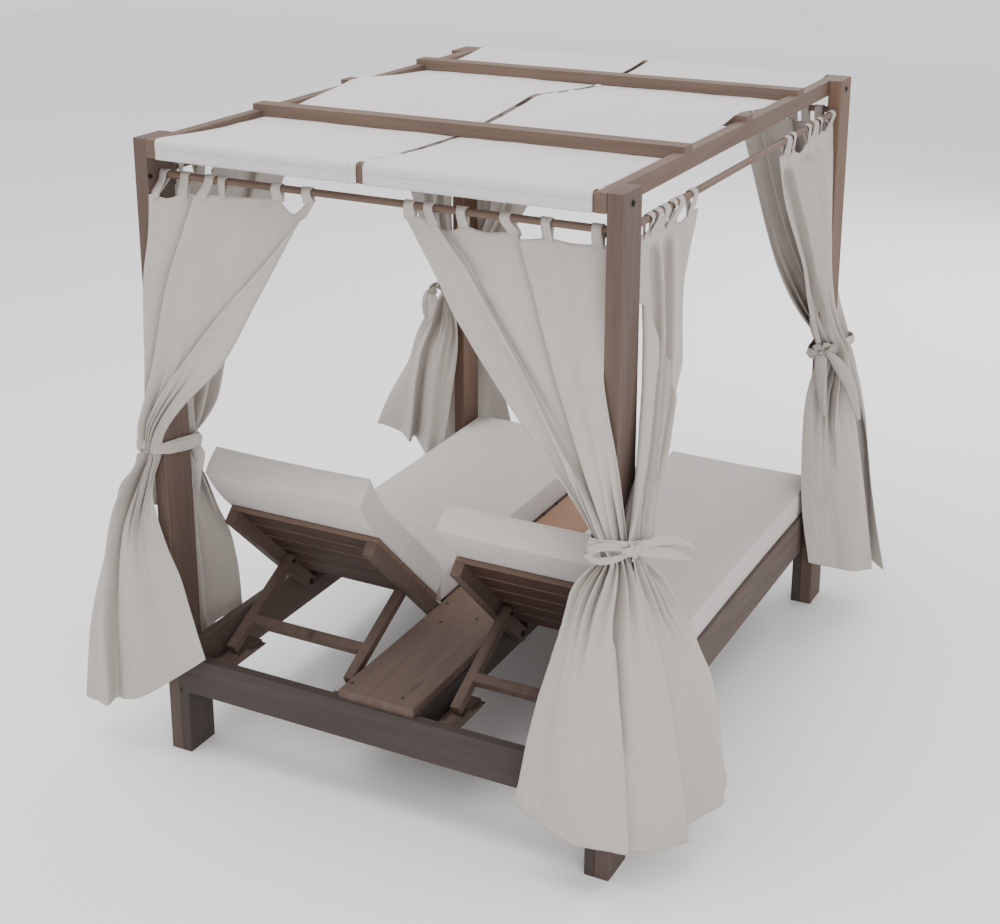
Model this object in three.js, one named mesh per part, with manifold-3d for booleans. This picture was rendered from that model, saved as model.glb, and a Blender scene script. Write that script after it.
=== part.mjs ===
// Outdoor daybed with a canopy: two reclining bays beside a centre plank, four flat posts,
// a roof of beams and bars with two cloth strips, and curtains tied back at the corners.
// Millimetres, +Z up. The origin is on the floor at the centre of the frame.
// The head end is toward -Y and the foot end toward +Y.

import * as THREE from "three";
import { mergeVertices } from "three/addons/utils/BufferGeometryUtils.js";
import Module from "manifold-3d";

const wasm = await Module();
wasm.setup();

// Overall frame
const frameWidth = 1540;
const frameLength = 2020;
const frameHeight = 2000;

// Boards
const postWide = 45;
const postDeep = 125;
const railThick = 32;
const railUnderside = 217;
const sideRailHeight = 148;
const endRailHeight = 125;
const endRailCorner = 20;
const edgeEase = 2.5;
const fit = 0.3;

// Centre plank and its two beams
const plankWide = 260;
const plankThick = 30;
const plankInset = 12;
const beamSpacing = 264;
const centreBeamHeight = 92;

// Slats
const slatWide = 95;
const slatThick = 18;
const slatLetIn = 1;
const slatEndGap = 1;
const seatSlatGap = 14;
const seatDeckStart = 690;
const seatDeckEndGap = 3;
const ledgerWide = 32;
const ledgerDeep = 45;
const ledgerSetback = 10;

// Backrest, measured from its pivot
const pivotFromHead = 650;
const pivotHeight = 325;
const backrestAngle = THREE.MathUtils.degToRad(45);
const backrestLength = 575;
const backrestTail = 30;
const backrestTailCut = 10;
const backrestRailWide = 35;
const backrestRailDeep = 45;
const backrestSlatCount = 5;
const backrestSlatGap = 8;
const backrestSideGap = 5;
const backrestCentreGap = 4;

// Prop frame, measured from its pins
const propPinFromPivot = 215;
const propLength = 379;
const propLegSize = 33;
const propSideGap = 2;
const propFootHeight = 306;
const propHeel = 12;
const propBarShare = 0.68;

// Pins and bolts
const pinRadius = 5;
const pinReach = 20;
const pinHoleEnd = 1;
const boltHeadRadius = 10;
const boltHeadThick = 7;
const boltInRail = 25;
const roundSides = 12;

// Cleats under the prop feet
const cleatPitch = 60;
const cleatNotchDepth = 12;
const cleatNotchLean = 3;
const cleatClear = 1.5;
const cleatUnderside = 250;
const cleatEnd = 325;
const cleatBlockHeight = 12;
const cleatBlockStart = 90;
const cleatHeadGap = 1;

// Roof
const beamHeight = 55;
const roofSideThick = 35;
const barWide = 60;
const barThick = 36;
const barNotch = 18;
const barShares = [0.2772, 0.5307, 0.7822];

// Rods
const rodRadius = 11;
const rodDrop = 112;

// Canopy cloth
const clothThick = 4;
const canopyCentreGap = 22;
const canopySideGap = 3;
const valanceDrop = 60;
const canopySag = 4;
const canopyRise = 2;

// Cushions
const seatCushionThick = 98;
const seatCushionCrown = 11;
const seatCushionHeadGap = 10;
const seatCushionFootOver = 10;
const cushionPostGap = 5;
const cushionCentreGap = 10;
const backCushionThick = 90;
const backCushionCrown = 14;
const backCushionStart = 78;
const backCushionOver = 185;
const backCushionLifts = { left: 30, right: 6 };
const backCushionAside = 9;
const cushionCorner = 45;
const cushionDrawIn = 7;
const cushionFoldDrop = 34;

// Curtains and sashes
const curtainThick = 6;
const curtainHem = 110;
const knotHeight = 1020;
const sashHeight = 46;
const sashThick = 4;
const tabWide = 52;
const tabLength = 60;
const tabsPerCurtain = 6;
const foldsPerCurtain = 4;
const stepsPerFold = 3;
const foldTop = 7;
const foldKnot = 9;
const foldHem = 13;
const knotEndNear = -6;
const knotEndFar = 42;
const knotEndOut = 22;
const knotSideGap = 6;
const knotSideFar = 185;
const hemEndNear = -268;
const hemEndFar = 150;
const hemEndOut = 78;
const hemSideNear = 170;
const hemSideFar = 400;
const hemSideOut = 70;
const sashGap = 2;
const bowSize = [10, 38, 24];

// How far each curtain is drawn along its rod, near edge to far edge, from the post
const drawnShares = {
  head_left: { end: [0.005, 0.348], side: [0.0035, 0.381] },
  head_right: { end: [0.031, 0.424], side: [0.0085, 0.257] },
  foot_left: { end: [0.031, 0.279], side: [0.0085, 0.268] },
  foot_right: { end: [0.031, 0.217], side: [0.0085, 0.297] },
};

// Worked out from the sizes above
const halfWidth = frameWidth / 2;
const halfLength = frameLength / 2;
const postInner = halfWidth - postWide;
const sideRailInner = postInner - railThick;
const sideRailTop = railUnderside + sideRailHeight;
const endRailTop = railUnderside + endRailHeight;
const beamOuter = beamSpacing / 2;
const beamInner = beamOuter - railThick;
const plankTop = endRailTop + plankThick;
const pivotY = pivotFromHead - halfLength;
const roofUnder = frameHeight - beamHeight;
const rodHeight = frameHeight - rodDrop;
const pinHole = pinRadius + fit;
const railHalf = backrestRailDeep / 2;
const slatTop = railHalf - slatLetIn + slatThick;
const backrestOuter = sideRailInner - backrestSideGap;
const backrestInner = beamOuter + backrestCentreGap;
const propOuter = backrestOuter - backrestRailWide - propSideGap;
const propInner = backrestInner + backrestRailWide + propSideGap;

// Colours
const woodTop = new THREE.MeshStandardMaterial({ color: 0x8e7464, roughness: 0.75, metalness: 0 });
const woodPost = new THREE.MeshStandardMaterial({ color: 0x7a675c, roughness: 0.78, metalness: 0 });
const woodDark = new THREE.MeshStandardMaterial({ color: 0x5a483f, roughness: 0.8, metalness: 0 });
const steelDark = new THREE.MeshStandardMaterial({ color: 0x2e2b2a, roughness: 0.45, metalness: 0.8 });
const clothCanopy = new THREE.MeshStandardMaterial({ color: 0xc8c6c6, roughness: 0.95, metalness: 0 });
const clothCurtain = new THREE.MeshStandardMaterial({ color: 0xb9b5b0, roughness: 0.95, metalness: 0 });
const clothCushion = new THREE.MeshStandardMaterial({ color: 0xbbb7b4, roughness: 0.92, metalness: 0 });

const daybed = new THREE.Group();

// A closed mesh becomes a solid that can be cut and joined.
function solid(geometry) {
  const plain = geometry.clone();
  plain.deleteAttribute("normal");
  plain.deleteAttribute("uv");
  const merged = mergeVertices(plain);
  const vertProperties = Float32Array.from(merged.attributes.position.array);
  const triVerts = Uint32Array.from(merged.index.array);
  return new wasm.Manifold(new wasm.Mesh({ numProp: 3, vertProperties, triVerts }));
}

function surface(shape) {
  const data = shape.getMesh();
  const geometry = new THREE.BufferGeometry();
  geometry.setAttribute("position", new THREE.BufferAttribute(Float32Array.from(data.vertProperties), 3));
  geometry.setIndex(new THREE.BufferAttribute(Uint32Array.from(data.triVerts), 1));
  geometry.computeVertexNormals();
  return geometry;
}

function join(shapes) {
  return shapes.slice(1).reduce((sum, shape) => sum.add(shape), shapes[0]);
}

function place(name, shape, material) {
  const geometry = shape instanceof THREE.BufferGeometry ? shape : surface(shape);
  const mesh = new THREE.Mesh(geometry, material);
  mesh.name = name;
  daybed.add(mesh);
  return mesh;
}

// An outline in the plane across an axis, extruded along that axis from start to end.
const crossAxes = { x: ["y", "z"], y: ["z", "x"], z: ["x", "y"] };

function unit(axis) {
  return new THREE.Vector3(axis === "x" ? 1 : 0, axis === "y" ? 1 : 0, axis === "z" ? 1 : 0);
}

function extruded(shape, axis, start, end) {
  const [first, second] = crossAxes[axis];
  const settings = { depth: end - start, bevelEnabled: false, curveSegments: 4 };
  const geometry = new THREE.ExtrudeGeometry(shape, settings);
  geometry.translate(0, 0, start);
  geometry.applyMatrix4(new THREE.Matrix4().makeBasis(unit(first), unit(second), unit(axis)));
  return geometry;
}

function outline(points) {
  return new THREE.Shape(points.map(([a, b]) => new THREE.Vector2(a, b)));
}

// An outline with a hole in it. Both run anticlockwise, however they are mirrored.
function holed(rim, hole) {
  const anticlockwise = (points) => (THREE.ShapeUtils.isClockWise(points) ? points.reverse() : points);
  const shape = new THREE.Shape(anticlockwise(rim));
  shape.holes.push(new THREE.Path(anticlockwise(hole)));
  return shape;
}

// A board between two corners, with its four long edges eased.
function board(axis, x, y, z) {
  const spans = { x, y, z };
  const [[a0, a1], [b0, b1]] = crossAxes[axis].map((name) => spans[name]);
  const e = edgeEase;
  const eased = outline([
    [a0 + e, b0], [a1 - e, b0], [a1, b0 + e], [a1, b1 - e],
    [a1 - e, b1], [a0 + e, b1], [a0, b1 - e], [a0, b0 + e],
  ]);
  return extruded(eased, axis, ...spans[axis]);
}

// The span from one distance to another on the left (-1) or right (+1) of the centre line.
function span(side, near, far) {
  return side < 0 ? [-far, -near] : [near, far];
}

function rod(axis, radius, start, end, centre) {
  const geometry = new THREE.CylinderGeometry(radius, radius, end - start, roundSides);
  geometry.translate(0, (start + end) / 2, 0);
  const turn = { x: [0, 0, -Math.PI / 2], y: [0, 0, 0] }[axis];
  geometry.applyMatrix4(new THREE.Matrix4().makeRotationFromEuler(new THREE.Euler(...turn)));
  geometry.translate(...centre);
  return geometry;
}

const sides = [["left", -1], ["right", 1]];
const ends = [["head", -1], ["foot", 1]];

// Posts, leg blocks and rails
function makeFrame() {
  for (const [endName, end] of ends) {
    for (const [sideName, side] of sides) {
      const x = span(side, postInner, halfWidth);
      const y = span(end, halfLength - postDeep, halfLength);
      place(`post_${endName}_${sideName}`, board("z", x, y, [0, frameHeight]), woodPost);
      const blockX = span(side, sideRailInner, postInner);
      place(`leg_block_${endName}_${sideName}`, board("z", blockX, y, [0, railUnderside]), woodDark);
    }
    const depth = span(end, halfLength - railThick, halfLength);
    place(`${endName}_rail`, endRail(depth), woodDark);
  }
}

// The head and foot rails have their lower corners rounded.
function endRail(depth) {
  const r = endRailCorner;
  const low = railUnderside + r;
  const shape = new THREE.Shape();
  shape.moveTo(endRailTop, -postInner);
  shape.lineTo(endRailTop, postInner);
  shape.lineTo(low, postInner);
  shape.absarc(low, postInner - r, r, Math.PI / 2, Math.PI, false);
  shape.lineTo(railUnderside, r - postInner);
  shape.absarc(low, r - postInner, r, Math.PI, Math.PI * 1.5, false);
  shape.closePath();
  return extruded(shape, "y", ...depth);
}

// The side rails and centre beams each hold one backrest bolt.
function boltedBoard(side, near, far, z, boltFace) {
  const y = [railThick - halfLength, halfLength - railThick];
  const plain = solid(board("y", span(side, near, far), y, z));
  const into = boltFace < 0 ? [near - fit, near + boltInRail + fit] : [far - boltInRail - fit, far + fit];
  const hole = rod("x", pinHole, ...span(side, ...into), [0, pivotY, pivotHeight]);
  return plain.subtract(solid(hole));
}

function makeRails() {
  const railZ = [railUnderside, sideRailTop];
  const beamZ = [endRailTop - centreBeamHeight, endRailTop];
  for (const [name, side] of sides) {
    place(`side_rail_${name}`, boltedBoard(side, sideRailInner, postInner, railZ, -1), woodDark);
    place(`centre_beam_${name}`, boltedBoard(side, beamInner, beamOuter, beamZ, 1), woodDark);
  }
  const x = [-plankWide / 2, plankWide / 2];
  const y = [plankInset - halfLength, halfLength - plankInset];
  place("centre_plank", board("y", x, y, [endRailTop, plankTop]), woodTop);
}

// A row of slats across a bay, counted along Y from a start, joined to two boards under them.
function slats(side, near, far, starts, under) {
  const x = span(side, near, far);
  return starts.map((y) => solid(board("x", x, [y, y + slatWide], [under, under + slatThick])));
}

function makeSeatDecks() {
  const start = seatDeckStart - halfLength;
  const stop = halfLength - railThick - seatDeckEndGap;
  const count = Math.floor((stop - start + seatSlatGap) / (slatWide + seatSlatGap));
  const step = (stop - start - slatWide) / (count - 1);
  const starts = Array.from({ length: count }, (_, i) => start + i * step);
  const under = pivotHeight + slatTop - slatThick;
  const ledgerZ = [under + slatLetIn - ledgerDeep, under + slatLetIn];
  const ledgerY = [start + ledgerSetback, stop];
  for (const [name, side] of sides) {
    const outer = span(side, sideRailInner - ledgerWide, sideRailInner);
    const inner = span(side, beamOuter, beamOuter + ledgerWide);
    const ledgers = [outer, inner].map((x) => solid(board("y", x, ledgerY, ledgerZ)));
    const across = slats(side, beamOuter + slatEndGap, sideRailInner - slatEndGap, starts, under);
    place(`seat_deck_${name}`, join([...ledgers, ...across]), woodTop);
  }
}

// Backrest in its own frame: pivot at the origin, length along -Y, slats on +Z.
function backrestRail(x) {
  const cut = backrestTailCut;
  const shape = outline([
    [-backrestLength, -railHalf], [backrestTail - cut, -railHalf], [backrestTail, cut - railHalf],
    [backrestTail, railHalf - cut], [backrestTail - cut, railHalf], [-backrestLength, railHalf],
  ]);
  return solid(extruded(shape, "x", ...x));
}

function makeBackrests() {
  const step = slatWide + backrestSlatGap;
  const starts = Array.from({ length: backrestSlatCount }, (_, i) => i * step - backrestLength);
  for (const [name, side] of sides) {
    const outer = span(side, backrestOuter - backrestRailWide, backrestOuter);
    const inner = span(side, backrestInner, backrestInner + backrestRailWide);
    const across = slats(side, backrestInner, backrestOuter, starts, railHalf - slatLetIn);
    const whole = join([backrestRail(outer), backrestRail(inner), ...across]);
    const pivots = rod("x", pinHole, ...span(side, backrestInner - fit, backrestOuter + fit), [0, 0, 0]);
    const seatX = span(side, propInner - pinReach - pinHoleEnd, propOuter + pinReach + pinHoleEnd);
    const pinSeats = rod("x", pinHole, ...seatX, [0, -propPinFromPivot, 0]);
    const drilled = whole.subtract(solid(pivots)).subtract(solid(pinSeats));
    const mesh = place(`backrest_${name}`, drilled, woodTop);
    mesh.position.set(0, pivotY, pivotHeight);
    mesh.rotation.x = -backrestAngle;
    makePivotBolts(name, side);
  }
}

function makePivotBolts(name, side) {
  const centre = [0, pivotY, pivotHeight];
  const bolts = [
    ["outer", backrestOuter - backrestRailWide - fit, sideRailInner + boltInRail, -1],
    ["inner", beamOuter - boltInRail, backrestInner + backrestRailWide + fit, 1],
  ];
  for (const [row, near, far, facing] of bolts) {
    const head = facing < 0 ? [near - boltHeadThick, near] : [far, far + boltHeadThick];
    const shank = facing < 0 ? [near - fit, far] : [near, far + fit];
    const parts = [
      solid(rod("x", pinRadius, ...span(side, ...shank), centre)),
      solid(rod("x", boltHeadRadius, ...span(side, ...head), centre)),
    ];
    place(`backrest_bolt_${row}_${name}`, join(parts), steelDark);
  }
}

// Where the prop pin and foot lie with the backrest at an angle above flat. The prop turns
// against the backrest at a constant ratio, which lays it along the rails when flat.
const propRestAngle = Math.asin(
  (pivotHeight + propPinFromPivot * Math.sin(backrestAngle) - propFootHeight) / propLength,
);

function propPinAt(angle) {
  return [
    pivotY - propPinFromPivot * Math.cos(angle),
    pivotHeight + propPinFromPivot * Math.sin(angle),
  ];
}

function footCornerAt(angle) {
  const [y, z] = propPinAt(angle);
  const slope = (propRestAngle * angle) / backrestAngle;
  const half = propLegSize / 2;
  return [
    y - propLength * Math.cos(slope) + half * Math.sin(slope),
    z - propLength * Math.sin(slope) - half * Math.cos(slope),
  ];
}

// Prop frame in its own frame: pins at the origin, legs along -Y.
function makeProps() {
  const half = propLegSize / 2;
  const barY = -propLength * propBarShare;
  for (const [name, side] of sides) {
    const y = [-propLength, propHeel];
    const legs = [
      board("y", span(side, propOuter - propLegSize, propOuter), y, [-half, half]),
      board("y", span(side, propInner, propInner + propLegSize), y, [-half, half]),
    ];
    const barX = span(side, propInner + half, propOuter - half);
    const bar = board("x", barX, [barY - half, barY + half], [-half, half]);
    const pins = [
      rod("x", pinRadius, ...span(side, propOuter - half, propOuter + pinReach), [0, 0, 0]),
      rod("x", pinRadius, ...span(side, propInner - pinReach, propInner + half), [0, 0, 0]),
    ];
    const mesh = place(`prop_frame_${name}`, join([...legs, bar, ...pins].map(solid)), woodDark);
    const [pinY, pinZ] = propPinAt(backrestAngle);
    mesh.position.set(0, pinY, pinZ);
    mesh.rotation.x = propRestAngle;
  }
}

// Saw-toothed cleat with the block that holds it off the rail. Its teeth stay just under
// the path of the prop foot.
function cleatOutline() {
  const [footY, footZ] = footCornerAt(backrestAngle);
  const [lowY, lowZ] = footCornerAt(0);
  const slope = (footZ - lowZ) / (footY - lowY);
  const tip = (y) => footZ + slope * (y - footY) - cleatClear;
  const start = railThick + cleatHeadGap - halfLength;
  const stop = cleatEnd - halfLength;
  const points = [[start, cleatUnderside], [stop, cleatUnderside]];
  const last = footY + cleatPitch;
  points.push([stop, tip(stop) - cleatNotchDepth]);
  for (let y = last; y > footY - 1.5 * cleatPitch; y -= cleatPitch) {
    points.push([y, tip(y) - cleatNotchDepth], [y - cleatNotchLean, tip(y)]);
  }
  points.push([start, tip(start) - cleatNotchDepth]);
  return outline(points);
}

function makeCleats() {
  const blockZ = [cleatUnderside, cleatUnderside + cleatBlockHeight];
  const blockY = [cleatBlockStart - halfLength, cleatEnd - halfLength];
  const half = propLegSize / 2;
  for (const [name, side] of sides) {
    const rows = [
      ["outer", propOuter - propLegSize, propOuter, propOuter - half, sideRailInner],
      ["inner", propInner, propInner + propLegSize, beamOuter, propInner + half],
    ];
    for (const [row, near, far, blockNear, blockFar] of rows) {
      const teeth = solid(extruded(cleatOutline(), "x", ...span(side, near, far)));
      const blockX = span(side, blockNear, blockFar);
      const block = solid(board("y", blockX, blockY, blockZ));
      place(`prop_cleat_${row}_${name}`, teeth.add(block), woodDark);
    }
  }
}

// Roof beams, cross bars and rods
function makeRoof() {
  const z = [roofUnder, frameHeight];
  for (const [name, side] of sides) {
    const x = span(side, postInner - roofSideThick, postInner);
    place(`roof_beam_${name}`, board("y", x, [-halfLength, halfLength], z), woodPost);
  }
  const between = postInner - roofSideThick;
  for (const [name, end] of ends) {
    const y = span(end, halfLength - railThick, halfLength);
    place(`roof_beam_${name}`, board("x", [-between, between], y, z), woodPost);
  }
  const inside = between - fit;
  const under = frameHeight - barNotch;
  const top = under + barThick;
  const profile = outline([
    [under, -inside], [under, inside], [frameHeight, inside], [frameHeight, postInner],
    [top, postInner], [top, -postInner], [frameHeight, -postInner], [frameHeight, -inside],
  ]);
  ["head", "middle", "foot"].forEach((name, i) => {
    const y = barShares[i] * frameLength - halfLength;
    place(`roof_bar_${name}`, extruded(profile, "y", y - barWide / 2, y + barWide / 2), woodPost);
  });
}

function makeRods() {
  const endRodY = halfLength - postDeep / 2;
  const sideRodX = halfWidth - postWide / 2;
  for (const [name, end] of ends) {
    const centre = [0, end * endRodY, rodHeight];
    place(`curtain_rod_${name}`, rod("x", rodRadius, -postInner, postInner, centre), woodTop);
  }
  const reach = halfLength - postDeep;
  for (const [name, side] of sides) {
    const centre = [side * sideRodX, 0, rodHeight];
    place(`curtain_rod_${name}`, rod("y", rodRadius, -reach, reach, centre), woodTop);
  }
}

// A cloth strip: a line of points across the roof, thickened by half the cloth on each side.
function canopyLine() {
  const lift = clothThick / 2 + fit;
  const outside = halfLength + lift;
  const over = frameHeight + lift;
  const underBar = frameHeight - barNotch - lift;
  const overBar = frameHeight - barNotch + barThick + lift;
  const [first, middle, last] = barShares.map((share) => share * frameLength - halfLength);
  const edge = barWide / 2;
  const rounded = lift;
  const inner = halfLength - railThick;
  const sagAt = (a, b) => [(a + b) / 2, (over + underBar) / 2 - canopySag];
  const riseAt = (a, b) => [(a + b) / 2, (overBar + underBar) / 2 - canopyRise];
  return [
    [-outside, over - valanceDrop], [-outside, over - rounded], [rounded - outside, over],
    [-inner, over], sagAt(-inner, first - edge),
    [first - edge, underBar], [first + edge, underBar], riseAt(first, middle),
    [middle - edge, overBar], [middle + edge, overBar], riseAt(middle, last),
    [last - edge, underBar], [last + edge, underBar], sagAt(last + edge, inner),
    [inner, over], [outside - rounded, over], [outside, over - rounded], [outside, over - valanceDrop],
  ];
}

function thickened(line, half) {
  const offset = (i, way) => {
    const before = line[Math.max(i - 1, 0)];
    const after = line[Math.min(i + 1, line.length - 1)];
    const here = line[i];
    const toHere = new THREE.Vector2(here[0] - before[0], here[1] - before[1]);
    const fromHere = new THREE.Vector2(after[0] - here[0], after[1] - here[1]);
    const first = toHere.length() > 0 ? toHere.normalize() : fromHere.clone().normalize();
    const second = fromHere.length() > 0 ? fromHere.normalize() : first;
    const along = first.clone().add(second).normalize();
    const reach = (way * half) / Math.max(along.dot(second), 0.5);
    return [here[0] - along.y * reach, here[1] + along.x * reach];
  };
  const under = line.map((_, i) => offset(i, -1));
  const over = line.map((_, i) => offset(i, 1));
  return outline([...under, ...over.reverse()]);
}

function makeCanopy() {
  const strip = thickened(canopyLine(), clothThick / 2);
  for (const [name, side] of sides) {
    const x = span(side, canopyCentreGap / 2, postInner - roofSideThick - canopySideGap);
    place(`canopy_strip_${name}`, extruded(strip, "x", ...x), clothCanopy);
  }
}

// A closed surface from rings of points, with a point at each end.
function ringSurface(rings, first, last) {
  const count = rings[0].length;
  const points = [first, ...rings.flat(), last];
  const faces = [];
  const at = (ring, i) => 1 + ring * count + (i % count);
  for (let i = 0; i < count; i += 1) {
    faces.push(0, at(0, i + 1), at(0, i));
    faces.push(points.length - 1, at(rings.length - 1, i), at(rings.length - 1, i + 1));
    for (let ring = 0; ring < rings.length - 1; ring += 1) {
      faces.push(at(ring, i), at(ring, i + 1), at(ring + 1, i));
      faces.push(at(ring, i + 1), at(ring + 1, i + 1), at(ring + 1, i));
    }
  }
  const geometry = new THREE.BufferGeometry();
  geometry.setAttribute("position", new THREE.Float32BufferAttribute(points.flat(), 3));
  geometry.setIndex(faces);
  geometry.computeVertexNormals();
  return geometry;
}

// The plan of a cushion: a rectangle with round corners and sides drawn in between them.
const cornerSteps = 2;
const sideSteps = 4;

function cushionPlan(halfX, halfY, inset) {
  const points = [];
  const corner = Math.max(cushionCorner - inset, cushionCorner / 4);
  const reachX = halfX - inset - corner;
  const reachY = halfY - inset - corner;
  const corners = [[1, 1, 0], [-1, 1, 1], [-1, -1, 2], [1, -1, 3]];
  for (const [sx, sy, turn] of corners) {
    for (let i = 0; i <= cornerSteps; i += 1) {
      const angle = ((turn + i / cornerSteps) * Math.PI) / 2;
      points.push([sx * reachX + corner * Math.cos(angle), sy * reachY + corner * Math.sin(angle)]);
    }
    const next = corners[(turn + 1) % 4];
    const from = points[points.length - 1];
    const endAngle = ((turn + 1) * Math.PI) / 2;
    const to = [
      next[0] * reachX + corner * Math.cos(endAngle),
      next[1] * reachY + corner * Math.sin(endAngle),
    ];
    for (let i = 1; i < sideSteps; i += 1) {
      const share = i / sideSteps;
      const draw = 4 * share * (1 - share) * cushionDrawIn;
      points.push([
        from[0] + (to[0] - from[0]) * share - Math.cos(endAngle) * draw,
        from[1] + (to[1] - from[1]) * share - Math.sin(endAngle) * draw,
      ]);
    }
  }
  return points;
}

// Rings up the side and over the top: share of the thickness, share of the crown, inset.
const cushionInsets = [3.2, 0.45, 0.12, 0, 0.12, 0.5, 1.6, 3.2];
const cushionHeightShares = [0, 0, 0.1, 0.5, 0.9, 1, 1, 1];
const cushionCrownShares = [0, 0, 0, 0, 0, 0.15, 0.7, 0.95];

function cushion(halfX, halfY, thick, crown, bend) {
  const rings = cushionInsets.map((insetShare, ring) => {
    const z = cushionHeightShares[ring] * thick + cushionCrownShares[ring] * crown;
    const plan = cushionPlan(halfX, halfY, insetShare * cushionCorner);
    return plan.map(([x, y]) => bend(x, y, z));
  });
  return ringSurface(rings, bend(0, 0, 0), bend(0, 0, thick + crown));
}

function makeCushions() {
  const outer = postInner - cushionPostGap;
  const inner = plankWide / 2 + cushionCentreGap;
  const halfX = (outer - inner) / 2;
  const headY = pivotY + seatCushionHeadGap;
  const footY = halfLength + seatCushionFootOver;
  const halfY = (footY - headY) / 2;
  const backEnd = backrestLength + backCushionOver;
  const backHalfY = (backEnd - backCushionStart) / 2;
  for (const [name, side] of sides) {
    const x = (side * (outer + inner)) / 2;
    const seat = cushion(halfX, halfY, seatCushionThick, seatCushionCrown, (px, py, pz) => {
      const fold = Math.max(0, 1 - (py + halfY) / (2 * cushionCorner));
      return [px, py, pz * (1 - (fold * fold * cushionFoldDrop) / seatCushionThick)];
    });
    const seatMesh = place(`seat_cushion_${name}`, seat, clothCushion);
    seatMesh.position.set(x, (headY + footY) / 2, sideRailTop + fit);
    const back = cushion(halfX, backHalfY, backCushionThick, backCushionCrown, (px, py, pz) => {
      const beyond = Math.max(0, (-py - backHalfY + backCushionOver) / backCushionOver);
      const fold = Math.max(0, 1 - (backHalfY - py) / (2 * cushionCorner));
      const drop = 1 - (fold * fold * cushionFoldDrop) / backCushionThick;
      return [px, py, pz * drop + beyond * beyond * backCushionLifts[name]];
    });
    const backMesh = new THREE.Mesh(back, clothCushion);
    backMesh.name = `back_cushion_${name}`;
    backMesh.position.set(x - side * backCushionAside, -(backCushionStart + backEnd) / 2, slatTop + fit);
    const holder = new THREE.Group();
    holder.position.set(0, pivotY, pivotHeight);
    holder.rotation.x = -backrestAngle;
    holder.add(backMesh);
    daybed.add(holder);
  }
}

// A curtain: rows down from its tabs to the knot and on to the hem. Each row is a wavy
// line from a near edge (at the post) to a far edge, at a distance out from the frame.
const rowShares = [0, 0.35, 0.7, 0.97, 1.03, 1.35, 2];

function mix(a, b, share) {
  return a + (b - a) * share;
}

function curtainRow(spec, level) {
  const tied = Math.abs(level - 1) < 0.04;
  if (level <= 1) {
    const share = tied ? 1 : level;
    return {
      z: mix(spec.top, knotHeight, level),
      near: mix(spec.topNear, spec.knotNear, share ** 4),
      far: mix(spec.topFar, spec.knotFar, share ** 1.5),
      out: mix(spec.topOut, spec.knotOut, 1 - (1 - share) ** 3),
      fold: mix(foldTop, foldKnot, share),
    };
  }
  const share = tied ? 0 : level - 1;
  return {
    z: mix(knotHeight, curtainHem, level - 1),
    near: mix(spec.knotNear, spec.hemNear, share ** 0.8),
    far: mix(spec.knotFar, spec.hemFar, share ** 0.8),
    out: mix(spec.knotOut, spec.hemOut, share ** 0.6),
    fold: mix(foldKnot, foldHem, share),
  };
}

function curtainSheet(spec, toWorld) {
  const columns = foldsPerCurtain * stepsPerFold;
  const rows = rowShares.map((level) => curtainRow(spec, level));
  const layer = (way) => rows.flatMap((row) => Array.from({ length: columns + 1 }, (_, i) => {
    const share = i / columns;
    const wave = row.fold * Math.sin(share * foldsPerCurtain * 2 * Math.PI);
    return toWorld(mix(row.near, row.far, share), row.out + wave + (way * curtainThick) / 2, row.z);
  }));
  const points = [...layer(1), ...layer(-1)];
  const count = rows.length * (columns + 1);
  const at = (row, column) => row * (columns + 1) + column;
  const faces = [];
  const quad = (a, b, c, d) => faces.push(a, b, c, a, c, d);
  for (let r = 0; r < rows.length - 1; r += 1) {
    for (let c = 0; c < columns; c += 1) {
      quad(at(r, c), at(r + 1, c), at(r + 1, c + 1), at(r, c + 1));
      quad(count + at(r, c), count + at(r, c + 1), count + at(r + 1, c + 1), count + at(r + 1, c));
    }
    quad(at(r, 0), count + at(r, 0), count + at(r + 1, 0), at(r + 1, 0));
    const e = columns;
    quad(at(r, e), at(r + 1, e), count + at(r + 1, e), count + at(r, e));
  }
  for (let c = 0; c < columns; c += 1) {
    quad(at(0, c), at(0, c + 1), count + at(0, c + 1), count + at(0, c));
    const b = rows.length - 1;
    quad(at(b, c), count + at(b, c), count + at(b, c + 1), at(b, c + 1));
  }
  const geometry = new THREE.BufferGeometry();
  geometry.setAttribute("position", new THREE.Float32BufferAttribute(points.flat(), 3));
  geometry.setIndex(facing(points, faces));
  return solid(geometry);
}

// Turns every face over when the closed surface holds a negative volume.
function facing(points, faces) {
  let volume = 0;
  for (let i = 0; i < faces.length; i += 3) {
    const [a, b, c] = [0, 1, 2].map((k) => new THREE.Vector3(...points[faces[i + k]]));
    volume += a.dot(b.cross(c));
  }
  return volume > 0 ? faces : faces.reverse();
}

// A tab: a loop round the rod with its two plies running down into the curtain. The
// outline is across the rod and up from its centre.
function tabOutline(across, up, upFirst) {
  const inner = rodRadius + fit;
  const outer = inner + curtainThick / 2;
  const square = (half) => [[half, -half], [half, half], [-half, half], [-half, -half]];
  const rim = [...square(outer), [-curtainThick, -tabLength], [curtainThick, -tabLength]];
  const settle = (points) => points.map(([a, b]) => {
    return upFirst ? new THREE.Vector2(up + b, across + a) : new THREE.Vector2(across + a, up + b);
  });
  return holed(settle(rim), settle(square(inner)));
}

function curtain(name, spec, axis, rodAcross, toWorld) {
  const spacing = (spec.topFar - spec.topNear) / tabsPerCurtain;
  const half = Math.min(tabWide, 0.7 * spacing) / 2;
  const shape = tabOutline(rodAcross, rodHeight, axis === "y");
  const pieces = [curtainSheet(spec, toWorld)];
  for (let i = 0; i < tabsPerCurtain; i += 1) {
    const centre = spec.topNear + (i + 0.5) * spacing;
    const [x, y] = toWorld(centre, 0, 0);
    const along = axis === "x" ? x : y;
    pieces.push(solid(extruded(shape, axis, along - half, along + half)));
  }
  place(name, join(pieces), clothCurtain);
}

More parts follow.
